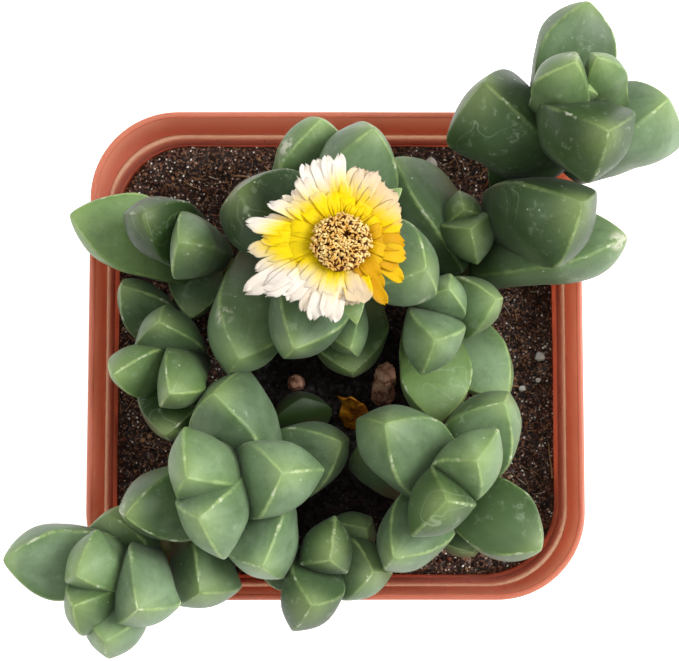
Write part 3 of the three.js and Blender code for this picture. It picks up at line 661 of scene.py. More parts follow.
# Outer petals: compass angle, reach from the centre, width, how peach-coloured the tip is
# from 0 for white to 1 for golden, droop at the tip, and curl of the edges
outerPetals = [
    (207, 17.8, 3.4, 0.08, 2.6, 0.5), (216, 15.5, 3.2, 0.02, 1.8, 0.4),
    (228, 13.2, 2.8, 0.08, 1.6, 0.5), (211, 14.9, 3, 0.05, 1, 0.3), (222, 13, 2.9, 0, 1, 0.2),
    (200, 15, 2.6, 0.12, 2, 0.5), (234, 11.8, 2.6, 0.1, 2, 0.3), (243, 13.2, 2.8, 0.22, 2.2, 0.4),
    (250, 13.9, 3, 0.05, 2, 0.3), (257, 12.8, 2.7, 0.08, 1.2, 0.3), (265, 13.2, 3.2, 0.05, 2, 0.4),
    (278, 10.6, 4.4, 0.36, 1.6, 0.6), (287, 10.8, 4.8, 0.42, 1, 0.6), (303, 12.6, 2.3, 0.95, 2, 0.7),
    (313, 10.2, 2.4, 1, 2.4, 0.5), (327, 11.8, 2.6, 0.62, 3.4, 0.4), (336, 10.4, 2.8, 0.95, 2, 0.4),
    (347, 10.8, 3.2, 0.62, 1.8, 0.4), (358, 10.2, 3, 0.9, 1.6, 0.4), (8, 9.8, 3, 0.8, 1.6, 0.3),
    (18, 10.4, 3.3, 0.5, 1.6, 0.4), (32, 11.3, 3.8, 0.46, 1.8, 0.5), (45, 12, 3.7, 0.43, 2, 0.5),
    (56, 12.2, 3.2, 0.45, 1.8, 0.4), (63, 13.2, 2.7, 0.38, 2.2, 0.4), (71, 12.5, 3, 0.42, 1.8, 0.4),
    (79, 12.5, 3, 0.35, 1.6, 0.4), (86, 11.4, 2.2, 0.2, 1.2, 0.3), (93, 14.4, 2.3, 0, 1.8, 0.5),
    (99, 14.4, 2.4, 0, 1.4, 0.5), (107, 14.2, 3, 0.03, 1.6, 0.5), (116, 14.2, 2.9, 0.05, 1.6, 0.4),
    (123, 12.9, 2.8, 0.15, 1.2, 0.4), (131, 11.6, 2.6, 0.2, 1.6, 0.4), (142, 12.2, 2.1, 0.15, 2, 0.5),
    (152, 13.6, 2.2, 0, 1.4, 0.9), (146, 10.9, 2.2, 0.08, 0.6, 0.9), (162, 13.4, 1.8, 0.15, 3.2, 0.5),
    (169, 16, 2.7, 0.05, 1, 0.9), (173, 12.4, 2.6, 0.2, 1, 0.3), (179, 13, 2.8, 0.25, 0.8, 0.3),
    (185, 15.6, 2.9, 0.25, 1.8, 0.5), (192, 12.8, 2.8, 0.25, 0.9, 0.3)]

# How far out the yellow reaches: compass angles, and millimetres from the centre
yellowReach = (
    (0, 14), (12, 11.5), (25, 9.6), (45, 8.8), (75, 9.2), (92, 11), (110, 9), (135, 9.6), (160, 11),
    (180, 14.5), (198, 12), (215, 8.6), (235, 8), (262, 8.8), (275, 7.6), (283, 5.6), (296, 6.2),
    (304, 15), (330, 15), (350, 12))


def petalShell(table, layer, draw):
    # Petals: a flat rounded section carried from the disc to the tip. The line rises and
    # arches over (a sine), droops with the square of the way, and the edges curl up with
    # the square of the way across. Blunt tips end in small uneven lobes.
    table = np.array(table, float)
    count, rows, columns = len(table), flowerValues["petalRows"], flowerValues["petalColumns"]
    angle, reach, width, tone, droop, curl = (table[:, at, None, None] for at in range(6))
    angle = np.radians(angle)
    t = (1 - (1 - np.linspace(0, 1, rows)) ** 1.25)[None, :, None]
    around = turns(columns)[None, None]
    across = np.cos(around)
    phase = draw.uniform(0, 2 * np.pi, (5, count, 1, 1))
    widening = 0.3 + 0.7 * np.sin(np.minimum(t / 0.62, 1) * np.pi / 2) ** 1.3
    ending = np.sqrt(1 - (np.clip(t - 0.8, 0, 1) / 0.2) ** 2.6 * 0.93)
    half = width / 2 * widening * ending
    lobes = 0.06 * t ** 8 * (np.cos(across * 4.5 + phase[0]) - 0.6)
    root = flowerValues["rootRadius"] * (0.9 - 0.12 * layer)
    out = root + (reach - root) * t * (1 + lobes)
    height = flowerValues["baseHeight"] + 0.55 * layer + flowerValues["arch"] * np.sin(2.2 * t)
    height = height - droop * t ** 2 + draw.uniform(-0.25, 0.25, (count, 1, 1)) * t
    sway = 0.35 * np.sin(2.6 * t + phase[1]) * t
    crease = 0.08 * np.cos(across * 5 + phase[2]) * t
    up = curl * 0.38 * across ** 2 * half * (0.4 + 0.6 * t) + crease
    up = up + 0.1 * np.sin(7 * t + phase[3]) * across * t
    up = up + flowerValues["petalThickness"] / 2 * np.sin(around) * (1 - 0.4 * t)
    sidewards = half * across + sway
    rings = np.stack([
        flowerCentre[0] + np.cos(angle) * out - np.sin(angle) * sidewards,
        flowerCentre[1] + np.sin(angle) * out + np.cos(angle) * sidewards,
        height + up], -1)
    pointAngle = np.degrees(angle + sidewards / out)
    yellowEnd = np.interp(pointAngle, *np.transpose(yellowReach), period=360)
    colourReach = flowerValues["colourReach"]
    fields = {"tipTone": tone, "fromCentre": out / colourReach, "petalAcross": across,
              "beyondYellow": (out - yellowEnd) / colourReach,
              "petalKind": draw.uniform(0, 1, (count, 1, 1))}
    return shellFrom(rings, fields=fields)


def innerPetalTable(draw):
    # Shorter petals above the outer ones, coloured like those that they lie on
    outer = np.array(sorted(outerPetals))
    rows = []
    for index in range(flowerValues["innerPetals"]):
        angle = 360 * index / flowerValues["innerPetals"] + draw.uniform(-4, 4)
        facing = math.cos(math.radians(angle - 205))
        reach = 8.9 + 1.5 * facing + draw.uniform(-1.2, 1.0)
        tone = float(np.interp(angle, outer[:, 0], outer[:, 3], period=360))
        width, droop = 2.5 + draw.uniform(-0.4, 0.5), 1.0 + draw.uniform(0, 0.8)
        rows.append((angle, reach, width, tone, droop, 0.2))
    return rows


def makePetalMaterial():
    place = openMaterial("satinPetal", {
        "Roughness": 0.6, "Specular IOR Level": 0.15, "Subsurface Weight": 0.25,
        "Subsurface Scale": 0.0006, "Subsurface Radius": (1.0, 0.9, 0.8)})
    tone, kind, reach, across, beyondYellow = attributes(
        "tipTone", "petalKind", "fromCentre", "petalAcross", "beyondYellow")
    vein = noiseAt(put("ShaderNodeCombineXYZ", X=across * 4, Y=reach * 4, Z=kind * 53), 1, 3, 0.65)
    tip = colourStops(tone, ((0, "FBF0E2"), (0.2, "F4E2CC"), (0.45, "DDC29A"), (0.7, "D9AC5A"),
                             (1, "BD8A10")))
    throat = mixColour(ramp(tone, 0.3, 0.8), "F6D200", "CC9600")
    edge = beyondYellow + (vein - 0.5) * 0.2
    blush = ramp(noiseAt(place, 300), 0.5, 0.7) * ramp(reach, 0.5, 0.8, 0, 0.3)
    dark = ramp(vein, 0.5, 0.62) * ramp(reach, 0.22, 0.34, 0.85, 0)
    base = coats(throat, (ramp(edge, -0.14, 0.12), tip), (blush, "DDB5AC"),
                 (ramp(vein, 0.55, 0.8, 0, 0.2), "C9912A"), (dark, "8A5200"))
    return finishMaterial(base, None, vein, 0.25, 0.0003)


draw = np.random.default_rng(7)
disc = [(0.3, 119.55), (4.6, 119.55), (5.1, 119.8), (5.2, 120.3), (5.0, 120.9), (4.5, 121.05),
        (0.3, 121.05)]
discFields = {"tipTone": 0.6, "fromCentre": 0.2, "beyondYellow": -0.4, "petalKind": 0.5}
petalParts = [
    petalShell(outerPetals, 0, draw),
    petalShell(innerPetalTable(draw), 1, draw),
    turnedShell(flowerCentre, disc, 48, fields=discFields)]
addPiece("petals", petalParts, makePetalMaterial(), "petal", "flower_petals")


def stamenParts(draw):
    # Filaments rise from the disc and lean outward, each ending in a pale anther, a short
    # bent sausage that lies in its own direction. A hollow stays open off the centre.
    count = flowerValues["stamenCount"]
    index = np.arange(count) + 0.5
    share = np.sqrt(index / count)
    angle = index * np.pi * (3 - math.sqrt(5)) + draw.uniform(-0.2, 0.2, count)
    centre = np.array(flowerCentre) + flowerValues["stamenShift"]
    spread = flowerValues["stamenSpread"] * share + draw.uniform(-0.25, 0.15, count)
    top = centre + polar(spread, angle) * (1, 0.94)
    hollow = centre + flowerValues["hollow"]
    off = top - hollow
    distance = lengthOf(off)
    top = np.where(distance < 0.7, hollow + off / np.maximum(distance, 0.05) * (0.7 + 0.4 * distance), top)
    rise = flowerValues["stamenTop"] + 0.9 * np.sin(np.pi * share) - 0.9 * share
    rise = rise + draw.uniform(-0.5, 0.5, count) - 0.8 * np.exp(-(distance[:, 0] / 1.6) ** 2)
    foot = centre + (top - centre) * 0.55
    tops = np.column_stack([top, rise])
    feet = np.column_stack([foot, np.full(count, flowerValues["stamenFoot"])])
    t = np.linspace(0, 1, 6)[None, :, None]
    bend = np.column_stack([draw.uniform(-0.4, 0.4, (count, 2)), np.zeros(count)])[:, None]
    path = feet[:, None] + (tops - feet)[:, None] * t + bend * np.sin(np.pi * t)
    filaments = tubeShell(path, 0.13 - 0.04 * t[..., 0], 5, fields={"stamenPart": 0.45})
    turn = draw.uniform(0, 2 * np.pi, count)
    lie = np.column_stack([np.cos(turn), np.sin(turn), draw.uniform(-0.35, 0.6, count)])
    size = draw.uniform(0.24, 0.46, (count, 1, 1))
    s = np.linspace(-1, 1, 6)[None, :, None]
    arc = tops[:, None] + unit(lie)[:, None] * s * size + np.array([0, 0, 0.16]) * (1 - s ** 2)
    thick = 0.18 * np.sqrt(np.maximum(1 - (0.93 * s[..., 0]) ** 2, 0))
    thick = thick * draw.uniform(0.8, 1.15, (count, 1))
    anthers = tubeShell(arc, thick, 6, reference=(0.1, 0.2, 1.0), fields={"stamenPart": 1.0})
    mound = [(0.3, 121.5), (4.1, 121.5), (4.6, 122.2), (4.5, 123.2), (3.9, 123.9), (3.0, 124.0),
             (2.0, 123.4), (0.3, 122.4)]
    return [turnedShell(centre, mound, 44, 11, 0.03, fields={"stamenPart": 0.0}), filaments, anthers]


def makeStamenMaterial():
    place = openMaterial("creamStamen", {"Roughness": 0.6, "Specular IOR Level": 0.3})
    part, = attributes("stamenPart")
    cloud = noiseAt(place, 700)
    anther = mixColour(ramp(cloud, 0.35, 0.65), "DDAA50", "FADC92")
    stalk = mixColour(ramp(cloud, 0.4, 0.6), "8A4A12", "B9781E")
    base = coats("6A3410", (ramp(part, 0.2, 0.5), stalk), (ramp(part, 0.6, 0.9), anther))
    return finishMaterial(base, None, cloud, 0.3, 0.0002)


stamens = stamenParts(np.random.default_rng(21))
addPiece("stamens", stamens, makeStamenMaterial(), "stamen", "flower_stamens")


# Pot

potValues = {
    "columns": 320,          # points round the wall, eight sectors of forty
    "lipRing": 22,           # the last ring of the table below that is outside
    "drainRadius": 2.6, "drainCircle": 19.0, "drainCount": 8,
    "floorTop": 2.0, "floorBottom": 0.4,
    "floorEdge": (30.9, 30.65, 10.0),  # half width, half depth and corner radius
    "floorCore": 9.0,        # radius of the disc in the middle of the floor
}

# Half width, half depth, corner radius and height of each ring of the wall, from the
# foot up the outside, over the lip and down the inside
potRings = [
    (31.3, 31.05, 10.3, 0), (31.5, 31.25, 10.5, 0.15), (31.6, 31.35, 10.55, 0.6),
    (34.25, 33.92, 11.6, 17), (37, 36.55, 12.7, 34), (39.8, 39.25, 13.7, 51),
    (42.55, 41.9, 14.78, 68.1), (42.6, 41.95, 14.8, 68.5), (42.75, 42.13, 14.95, 68.85),
    (43.8, 43.33, 15.5, 69.2), (44, 43.55, 15.6, 69.4), (44.05, 43.6, 15.62, 69.8),
    (44.3, 43.85, 15.8, 74), (44.58, 44.13, 15.98, 78.5), (44.62, 44.17, 16, 78.8),
    (44.92, 44.52, 16, 79), (45, 44.6, 16, 79.15), (45, 44.6, 16, 79.75),
    (44.93, 44.53, 15.95, 79.92), (44.75, 44.35, 15.85, 80), (44.15, 43.75, 15.2, 80),
    (43.97, 43.57, 15, 79.93), (43.89, 43.49, 14.9, 79.75), (43.85, 43.45, 14.88, 79.3),
    (43.3, 42.85, 14.7, 74.5), (42.85, 42.3, 14.55, 70), (42.78, 42.21, 14.5, 69.5),
    (41.7, 40.95, 13.9, 68.7), (41.5, 40.75, 13.8, 68.4), (41.4, 40.65, 13.78, 68),
    (38.4, 37.75, 12.5, 49), (35.3, 34.85, 11.2, 29), (32.4, 32.05, 10, 10),
    (30.6, 30.35, 9.5, 2.4), (30.2, 29.95, 9.3, 1.9)]


def oblongReach(angle, halfWidth, halfDepth, radius):
    # Distance from the middle to a rounded oblong in a direction: the nearest of its two
    # straight sides and, in a corner, the circle that rounds it
    c, s = np.abs(np.cos(angle)), np.abs(np.sin(angle))
    straight = np.minimum(halfWidth / np.maximum(c, 1e-9), halfDepth / np.maximum(s, 1e-9))
    cornerX, cornerY = halfWidth - radius, halfDepth - radius
    toCorner = c * cornerX + s * cornerY
    rounded = toCorner + np.sqrt(np.maximum(toCorner ** 2 - cornerX ** 2 - cornerY ** 2 + radius ** 2, 0))
    x, y = straight * c, straight * s
    return np.where((x > cornerX) & (y > cornerY), rounded, straight)


def wallPart():
    # The wall is a closed band: the profile goes up outside, over the lip, down inside
    # and back under the foot, and the last ring is joined to the first
    angle = np.linspace(0, 2 * np.pi, potValues["columns"], endpoint=False)
    values = np.array(potRings)[:, :, None]
    reach = oblongReach(angle, values[:, 0], values[:, 1], values[:, 2])
    reach = reach * (1 + 0.0006 * np.sin(3 * angle + values[:, 3] / 9))
    height = np.broadcast_to(values[:, 3], reach.shape)
    wall = bandPart(np.concatenate([polar(reach, angle), height[..., None]], -1))
    ringNumber = np.repeat(np.arange(len(potRings)), potValues["columns"])
    wall["fields"]["insideWall"] = np.where(ringNumber > potValues["lipRing"], 1.0, 0.0)
    return wall


def bandPart(rings):
    # A tube bent into a ring: quads joined both ways round, so nothing is left open
    rows, columns = rings.shape[:2]
    row, column = np.meshgrid(np.arange(rows), np.arange(columns), indexing="ij")
    beside, above = (column + 1) % columns, (row + 1) % rows
    quads = np.stack([row * columns + column, row * columns + beside,
                      above * columns + beside, above * columns + column], -1).reshape(-1, 4)
    points = rings.reshape(-1, 3)
    a, b, c, d = (points[quads[:, corner]] for corner in range(4))
    if (np.cross(a, b) * c).sum() + (np.cross(a, c) * d).sum() < 0:  # inside out
        quads = quads[:, ::-1]
    part = barePart(points, quads, np.zeros((0, 3), int))
    part["quadPlaces"] = np.stack([quads % columns / columns, quads // columns / rows], -1)
    return part


def floorParts():
    # The floor plate has a hole in each sector. A sector is a loop of points round its
    # edge, drawn in towards the hole's circle, below and above, so each is a closed band.
    parts = []
    sector = 2 * np.pi / potValues["drainCount"]
    steps = potValues["columns"] // potValues["drainCount"]
    inner, top, bottom = (potValues[value] for value in ("floorCore", "floorTop", "floorBottom"))
    for hole in range(potValues["drainCount"]):
        start = hole * sector
        angle = start + np.linspace(0, sector, steps + 1)
        outer = oblongReach(angle, *potValues["floorEdge"])
        rim, core = polar(outer, angle), polar(inner, angle)
        share = np.linspace(0, 1, 13)[1:-1, None]
        loop = np.concatenate([rim, rim[-1] + (core[-1] - rim[-1]) * share,
                               core[::-1], core[0] + (rim[0] - core[0]) * share])
        middle = polar(potValues["drainCircle"], start + sector / 2)
        turn = np.arctan2(*(loop - middle).T[::-1])
        circle = middle + polar(potValues["drainRadius"], turn)
        rings = [np.column_stack([circle + (loop - circle) * share, np.full(len(loop), height)])
                 for share, height in ((1, bottom), (0.5, bottom), (0.04, bottom), (0, bottom + 0.2),
                                       (0, top - 0.2), (0.04, top), (0.5, top), (1, top))]
        parts.append(bandPart(np.array(rings)))
    disc = [(0.3, bottom), (inner - 0.2, bottom), (inner + 0.05, bottom + 0.02),
            (inner + 0.05, top - 0.02), (inner - 0.2, top), (0.3, top)]
    return parts + [turnedShell((0, 0), disc, potValues["columns"])]


def makePotMaterial():
    # thin plastic that lets some light through; the inside is painted paler, painted light that stands in
    # for the light shining through the wall
    place = openMaterial("terracottaPlastic", {
        "Specular IOR Level": 0.42, "Subsurface Weight": 0.75, "Subsurface Scale": 0.007,
        "Subsurface Radius": (1.0, 0.72, 0.6)})
    inside, = attributes("insideWall")
    height = apart(place)[2]
    cloud = noiseAt(place, 45, 3, 0.6)
    mottled = ramp(cloud, 0.3, 0.7)
    # painted light: the inside of the wall is painted paler than the outside
    base = mixColour(inside, mixColour(mottled, "B25A41", "BC664A"),
                     mixColour(mottled, "BE6C5B", "C87866"))
    stretched = put("ShaderNodeMapping", Vector=place, Scale=(260, 260, 1500))
    scuff = ramp(noiseAt(stretched, 1, 4, 0.7), 0.66, 0.76, 0, 0.3)
    # specks of soil cling to the wall above the soil, fewer towards the rim
    cellWay, cellKind = cellsAt(place, 900)
    clinging = sums("GREATER_THAN", cellKind[0], ramp(height, 0.0665, 0.0715, 0.8, 1))
    dirt = ramp(cellWay, 0.16, 0.3, 1, 0) * clinging
    film = ramp(height, 0.0665, 0.0705, 0.9, 0) * ramp(cloud, 0.35, 0.65)
    dirt = sums("MAXIMUM", dirt, film) * inside
    # painted shade: the ledge under the rim and the top of the lip are painted darker against the light
    # that falls on them, and the ledge is rougher
    ledge = ramp(height, 0.0680, 0.0684) * ramp(height, 0.0700, 0.0710, 1, 0) * inside
    base = coats(base, (ramp(noiseAt(place, 900, 1), 0.6, 0.8, 0, 0.25), "DB917D"), (scuff, "E2B5A4"),
                 (dirt * 0.8, "4A2A1C"), (ledge * 0.85, "74392C"),
                 (ramp(height, 0.0794, 0.0798, 0, 0.8), "A65A47"))
    rough = sums("MAXIMUM", ramp(cloud, 0.3, 0.7, 0.34, 0.5), ledge)
    return finishMaterial(base, rough, noiseAt(place, 1800, 2, 0.7), 0.2, 0.0002)


addPiece("potBody", [wallPart()] + floorParts(), makePotMaterial(), "pot", "pot")


# Soil

soilValues = {
    "gridPoints": 250,       # points along each side of the surface
    "relief": 0.35, "crumbs": 3000, "smallestCrumb": 0.13, "crumbGrowth": 0.42,
    # how many fibres, the longest, their radius, and their kind from dark to pale
    "fibres": ((800, 3.2, 0.07, (0.86, 0.99)), (160, 4.5, 0.16, (0.3, 0.9))),
    "bankStart": 27.0, "bankRun": 12.0, "bankRise": 3.2,
    # the pot's inner half width, half depth and corner radius at its floor, and how much
    # each of them grows from there up to the ledge
    "innerWall": ((30.3, 11.2), (30.05, 10.7), (9.5, 4.3)), "floorHeight": 2.0, "wallRise": 66.4,
    "wallGap": 0.32,         # between the soil and the wall, hidden
    "skirt": ((64.0, 0.32), (40.0, 0.32), (12.0, 0.32), (2.4, 0.4), (2.3, 6.0), (2.3, 24.0)),
}


def innerWall(height, inset):
    # Half width, half depth and corner radius just inside the pot's wall at a height
    share = (height - soilValues["floorHeight"]) / soilValues["wallRise"]
    return [atFloor + growth * share - inset for atFloor, growth in soilValues["innerWall"]]


def soilTop(x, y):
    # Slow waves, and a bank that rises along the back wall
    waves = np.sin(0.31 * x + 0.9) * np.cos(0.27 * y - 0.4) + np.sin(0.17 * (x - y))
    share = np.clip((y - soilValues["bankStart"]) / soilValues["bankRun"], 0, 1)
    bank = soilValues["bankRise"] * share ** 2 * (3 - 2 * share)
    return soilHeight + soilValues["relief"] * waves + bank


def crumbled(x, y):
    # Loose surface: heights of rounded crumbs, the nearest one of jittered centres in
    # each of two sizes of cell, over slow noise
    height = 0.35 * gridNoise(np.stack([x / 2.6, y / 2.6, 0 * x], -1), 3)
    for size, rise, seed in ((1.7, 0.55, 11), (0.8, 0.3, 12)):
        cellX, cellY = np.floor(x / size), np.floor(y / size)
        best = np.full(x.shape, 9.0)
        for stepX in (-1, 0, 1):
            for stepY in (-1, 0, 1):
                atX, atY = cellX + stepX, cellY + stepY
                shiftX = np.sin(atX * 127.1 + atY * 311.7 + seed) * 43758.5453 % 1
                shiftY = np.sin(atX * 269.5 + atY * 183.3 + seed) * 43758.5453 % 1
                best = np.minimum(best, np.hypot(x / size - atX - shiftX, y / size - atY - shiftY))
        height = height + rise * np.sqrt(np.clip(0.75 - best ** 2, 0, 1))
    return height - 0.45


def soilPart():
    # A square grid stretched to the rounded oblong for the loose top, then the edge goes
    # down the wall in rings to the bottom
    points = soilValues["gridPoints"]
    u, v = np.meshgrid(np.linspace(-1, 1, points), np.linspace(-1, 1, points), indexing="ij")
    angle = np.arctan2(v, u)
    size = np.maximum(np.abs(u), np.abs(v))
    reach = oblongReach(angle, *innerWall(soilHeight, soilValues["wallGap"])) * size
    x, y = reach * np.cos(angle), reach * np.sin(angle)
    edgeward = np.clip((1 - size) / 0.02, 0, 1)
    z = soilTop(x, y) + crumbled(x, y) * edgeward - 0.4 * (1 - edgeward)
    grid = np.arange(points * points).reshape(points, points)
    quads = np.stack([grid[:-1, :-1], grid[1:, :-1], grid[1:, 1:], grid[:-1, 1:]], -1).reshape(-1, 4)
    loop = np.concatenate([grid[:-1, 0], grid[-1, :-1], grid[:0:-1, -1], grid[0, :0:-1]])
    edgeAngle = angle.ravel()[loop]
    skirt = []
    for height, inset in soilValues["skirt"]:
        far = oblongReach(edgeAngle, *(max(value, 0.5) for value in innerWall(height, inset)))
        skirt.append(np.column_stack([polar(far, edgeAngle), 0 * far + height]))
    top = np.stack([x, y, z], -1).reshape(-1, 3)
    allPoints = np.concatenate([top] + skirt + [np.array([[0, 0, height]])])
    around = len(loop)
    rows = [loop] + [len(top) + around * row + np.arange(around) for row in range(len(skirt))]
    for upper, lower in zip(rows[:-1], rows[1:]):
        beside = np.stack([upper, lower, np.roll(lower, -1), np.roll(upper, -1)], -1)
        quads = np.concatenate([quads, beside])
    fans = np.stack([np.full(around, len(allPoints) - 1), np.roll(rows[-1], -1), rows[-1]], -1)
    return barePart(allPoints, quads, fans)


def scattered(draw, count, half, inset):
    # Random places on the soil, away from the wall
    x, y = draw.uniform(-half, half, (2, count))
    reach = oblongReach(np.arctan2(y, x), *innerWall(soilHeight, inset))
    keep = np.hypot(x, y) < reach
    return x[keep], y[keep], keep.sum()


def turnedPair(first, second, angle):
    # Two coordinates turned round the third
    c, s = np.cos(angle), np.sin(angle)
    return c * first - s * second, s * first + c * second


def crumbParts(draw):
    # Crumbs: a rough ball of four rings of six points, squashed and turned at random
    x, y, count = scattered(draw, soilValues["crumbs"], 41, 1.0)
    size = soilValues["smallestCrumb"] + soilValues["crumbGrowth"] * draw.uniform(0, 1, count) ** 3.2
    ball = ballPoints((np.arange(4) + 0.5) / 4 * np.pi, 6)
    rough = ball * draw.uniform(0.7, 1.25, (count, 4, 6, 1)) * draw.uniform(0.6, 1.3, (count, 1, 1, 3))
    spin = draw.uniform(0, 2 * np.pi, (2, count, 1, 1))
    ballX, ballY = turnedPair(rough[..., 0], rough[..., 1], spin[0])
    ballY, ballZ = turnedPair(ballY, rough[..., 2], spin[1])
    middle = np.stack([x, y, soilTop(x, y) + crumbled(x, y) + 0.35 * size], -1)
    rings = middle[:, None, None] + size[:, None, None, None] * np.stack([ballX, ballY, ballZ], -1)
    return shellFrom(rings, fields={"crumbKind": draw.uniform(0, 1, (count, 1, 1)), "loose": 1.0})


def fibreParts(draw, count, longest, thickness, kind):
    # Fibres: thin bent tubes lying on the crumbs
    x, y, count = scattered(draw, count, 40, 2.5)
    length = (0.5 + (longest - 0.5) * draw.uniform(0, 1, count) ** 2.2)[:, None]
    turn = draw.uniform(0, 2 * np.pi, count)[:, None]
    t = np.linspace(-0.5, 0.5, 6)[None]
    bend = draw.uniform(-0.5, 0.5, count)[:, None] * (0.25 - t ** 2)
    alongX, alongY = turnedPair(t, bend, turn)
    pathX, pathY = x[:, None] + length * alongX, y[:, None] + length * alongY
    lift = 0.35 + draw.uniform(-0.1, 0.3, (count, 1)) + draw.uniform(-0.3, 0.3, (count, 1)) * t
    radii = thickness * draw.uniform(0.6, 1.4, (count, 1)) * (1 - 1.2 * t ** 2)
    fields = {"crumbKind": draw.uniform(*kind, (count, 1, 1)), "loose": 1.0}
    path = np.stack([pathX, pathY, soilTop(pathX, pathY) + lift], -1)
    return tubeShell(path, radii, 4, reference=(0.05, 0.1, 1.0), fields=fields)


def strawPart():
    # One pale straw that lies along the right wall
    stops = [(39.7, -15.6, 68.3), (39.9, -18, 68.3), (40.2, -20.2, 68.2), (40.4, -22.3, 68)]
    path = smoothPath(stops, 6)
    fields = {"crumbKind": 0.9, "loose": 1.0}
    return tubeShell(path, np.linspace(0.14, 0.36, len(path)), 8, flat=0.6, fields=fields)


def makeSoilMaterial():
    place = openMaterial("darkPeat", {"Roughness": 0.85, "Specular IOR Level": 0.3})
    kind, loose = attributes("crumbKind", "loose")
    cloud = noiseAt(place, 420, 4, 0.7)
    fine = noiseAt(place, 1900, 3, 0.7)
    # pale specks of many sizes
    cellWay, cellKind = cellsAt(place, 1300)
    speck = ramp(cellWay + (fine - 0.5) * 0.9, 0.16, 0.27, 1, 0) * ramp(cellKind[0], 0.3, 0.45)
    crumb = colourStops(kind, ((0, "21140D"), (0.3, "3A2417"), (0.55, "573522"), (0.72, "7A452B"),
                               (0.84, "A9805A"), (0.95, "D8C8AE")), steps=True)
    # painted shade: the soil under the shoots, where their shade falls, is painted nearly black
    x, y = apart(place)[:2]
    shadeX = sums("DIVIDE", x + 0.002, 0.024)
    shadeY = sums("DIVIDE", y + 0.010, 0.034)
    base = coats("0E0704", (ramp(cloud, 0.35, 0.7), "38221A"), (ramp(fine, 0.52, 0.62, 0, 0.9), "8A6148"),
                 (ramp(fine, 0.34, 0.46, 0.9, 0), "080403"),
                 (speck, mixColour(sums("POWER", cellKind[1], 1.3), "9A6A48", "FFFAF0")),
                 (loose, mixColour(ramp(cloud, 0.4, 0.7, 0, 0.5), crumb, "140B06")),
                 (ramp(shadeX * shadeX + shadeY * shadeY, 0.35, 1.1, 0.93, 0), "0A0604"))
    return finishMaterial(base, ramp(cellKind[2], 0, 1, 0.45, 0.95), cloud, 0.6, 0.0006)


draw = np.random.default_rng(5)
soilMaterial = makeSoilMaterial()
addPiece("pottingSoil", [soilPart()], soilMaterial, "soil", "soil")
looseParts = [crumbParts(draw)] + [fibreParts(draw, *values) for values in soilValues["fibres"]]
addPiece("looseCrumbs", looseParts + [strawPart()], soilMaterial, "soil")


# Perlite, old stems and the withered petal

perliteValues = {
    "places": ((18, 37, 1.05), (38.5, 0.5, 1.0), (35, -5.5, 0.62), (38, -3.8, 0.55)),  # and sizes
    "rise": 0.45, "squash": (1, 0.9, 0.75),
}


def perliteShell(x, y, size, draw):
    # A lump: a ball pushed in and out by noise, and pitted
    ball = ballPoints(np.linspace(0.12, np.pi - 0.12, 18), 28)
    shift = draw.uniform(-50, 50, 3)
    swelling = 1 + 0.22 * gridNoise(ball * 1.6 + shift, 31) + 0.1 * gridNoise(ball * 4.5 + shift, 32)
    middle = np.array([x, y, soilTop(x, y) + perliteValues["rise"]])
    lump = ball * swelling[..., None] * perliteValues["squash"] * size
    return shellFrom((lump + middle)[None])


def makePerliteMaterial():
    place = openMaterial("whitePerlite", {"Roughness": 0.9, "Specular IOR Level": 0.25})
    cloud = noiseAt(place, 900, 3)
    base = coats("D9D2C6", (ramp(cloud, 0.4, 0.7), "FFFFFF"), (ramp(cloud, 0.66, 0.72), "6B5648"))
    return finishMaterial(base, None, cellsAt(place, 2600)[0], 0.5, 0.0003)


draw = np.random.default_rng(9)
perliteMaterial = makePerliteMaterial()
for number, (x, y, size) in enumerate(perliteValues["places"]):
    parts, node = [perliteShell(x, y, size, draw)], f"perlite_grain_{number + 1}"
    addPiece(f"perliteLump{number + 1}", parts, perliteMaterial, "perlite", node)


# Dry stubs: the node, the place of the foot, radius, height of the top, how far the top
# leans, and the seed of the furrows
stubs = {
    "woodyStub": ("woody_stem", 8.8, -6.6, 2.1, 83.5, (0.3, 3.0), 61),
    "oldStub": ("old_stem", -7.5, -4.5, 1.5, 73, (0.2, -0.2), 71),
}


def stubShell(x, y, radius, top, lean, seed):
    # A dry stub, upright at its foot and then leaning: rings furrowed by noise, thinner
    # towards the unevenly broken top
    height = np.concatenate([np.linspace(soilHeight - stemDepth, top - 0.5, 40),
                             np.linspace(top - 0.4, top, 4)])
    share = np.clip((height - soilHeight - 2) / (top - soilHeight - 2), 0, 1)[:, None]
    closing = np.ones(len(height))
    closing[-4:] = (0.98, 0.92, 0.8, 0.5)
    height = height[:, None] + np.zeros((1, 48))
    aroundX, aroundY = np.cos(turns(48)) + 0 * height, np.sin(turns(48)) + 0 * height
    noisePlace = np.stack([aroundX * 2.2, aroundY * 2.2, height * 0.28], -1)
    furrow = 0.16 * gridNoise(noisePlace, seed) + 0.08 * gridNoise(noisePlace * (3, 3, 2.2), seed + 1)
    ringScars = 0.07 * np.cos(height * 1.9) ** 8
    reach = radius * closing[:, None] * (1.0 - 0.22 * share + furrow + ringScars)
    tilt = np.where(closing[:, None] < 1, 0.35 * aroundX, 0)
    rings = [x + lean[0] * share + reach * aroundX, y + lean[1] * share + reach * aroundY,
             height + tilt * reach / radius - 0.2]
    return shellFrom(np.stack(rings, -1)[None])


def makeWoodMaterial():
    place = openMaterial("dryStem", {"Roughness": 0.8, "Specular IOR Level": 0.25})
    stretched = put("ShaderNodeMapping", Vector=place, Scale=(1, 1, 0.25))
    grain = noiseAt(stretched, 900, 4, 0.65)
    # the broken top of the taller stub is dark
    base = coats("6E3F2A", (ramp(grain, 0.35, 0.62), "D2A084"),
                 (ramp(noiseAt(place, 260, 3), 0.5, 0.7, 0, 0.7), "E2BDA0"),
                 (ramp(apart(place)[2], 0.0815, 0.0825, 0, 0.75), "4A2A1A"))
    return finishMaterial(base, None, grain, 0.6, 0.0005)


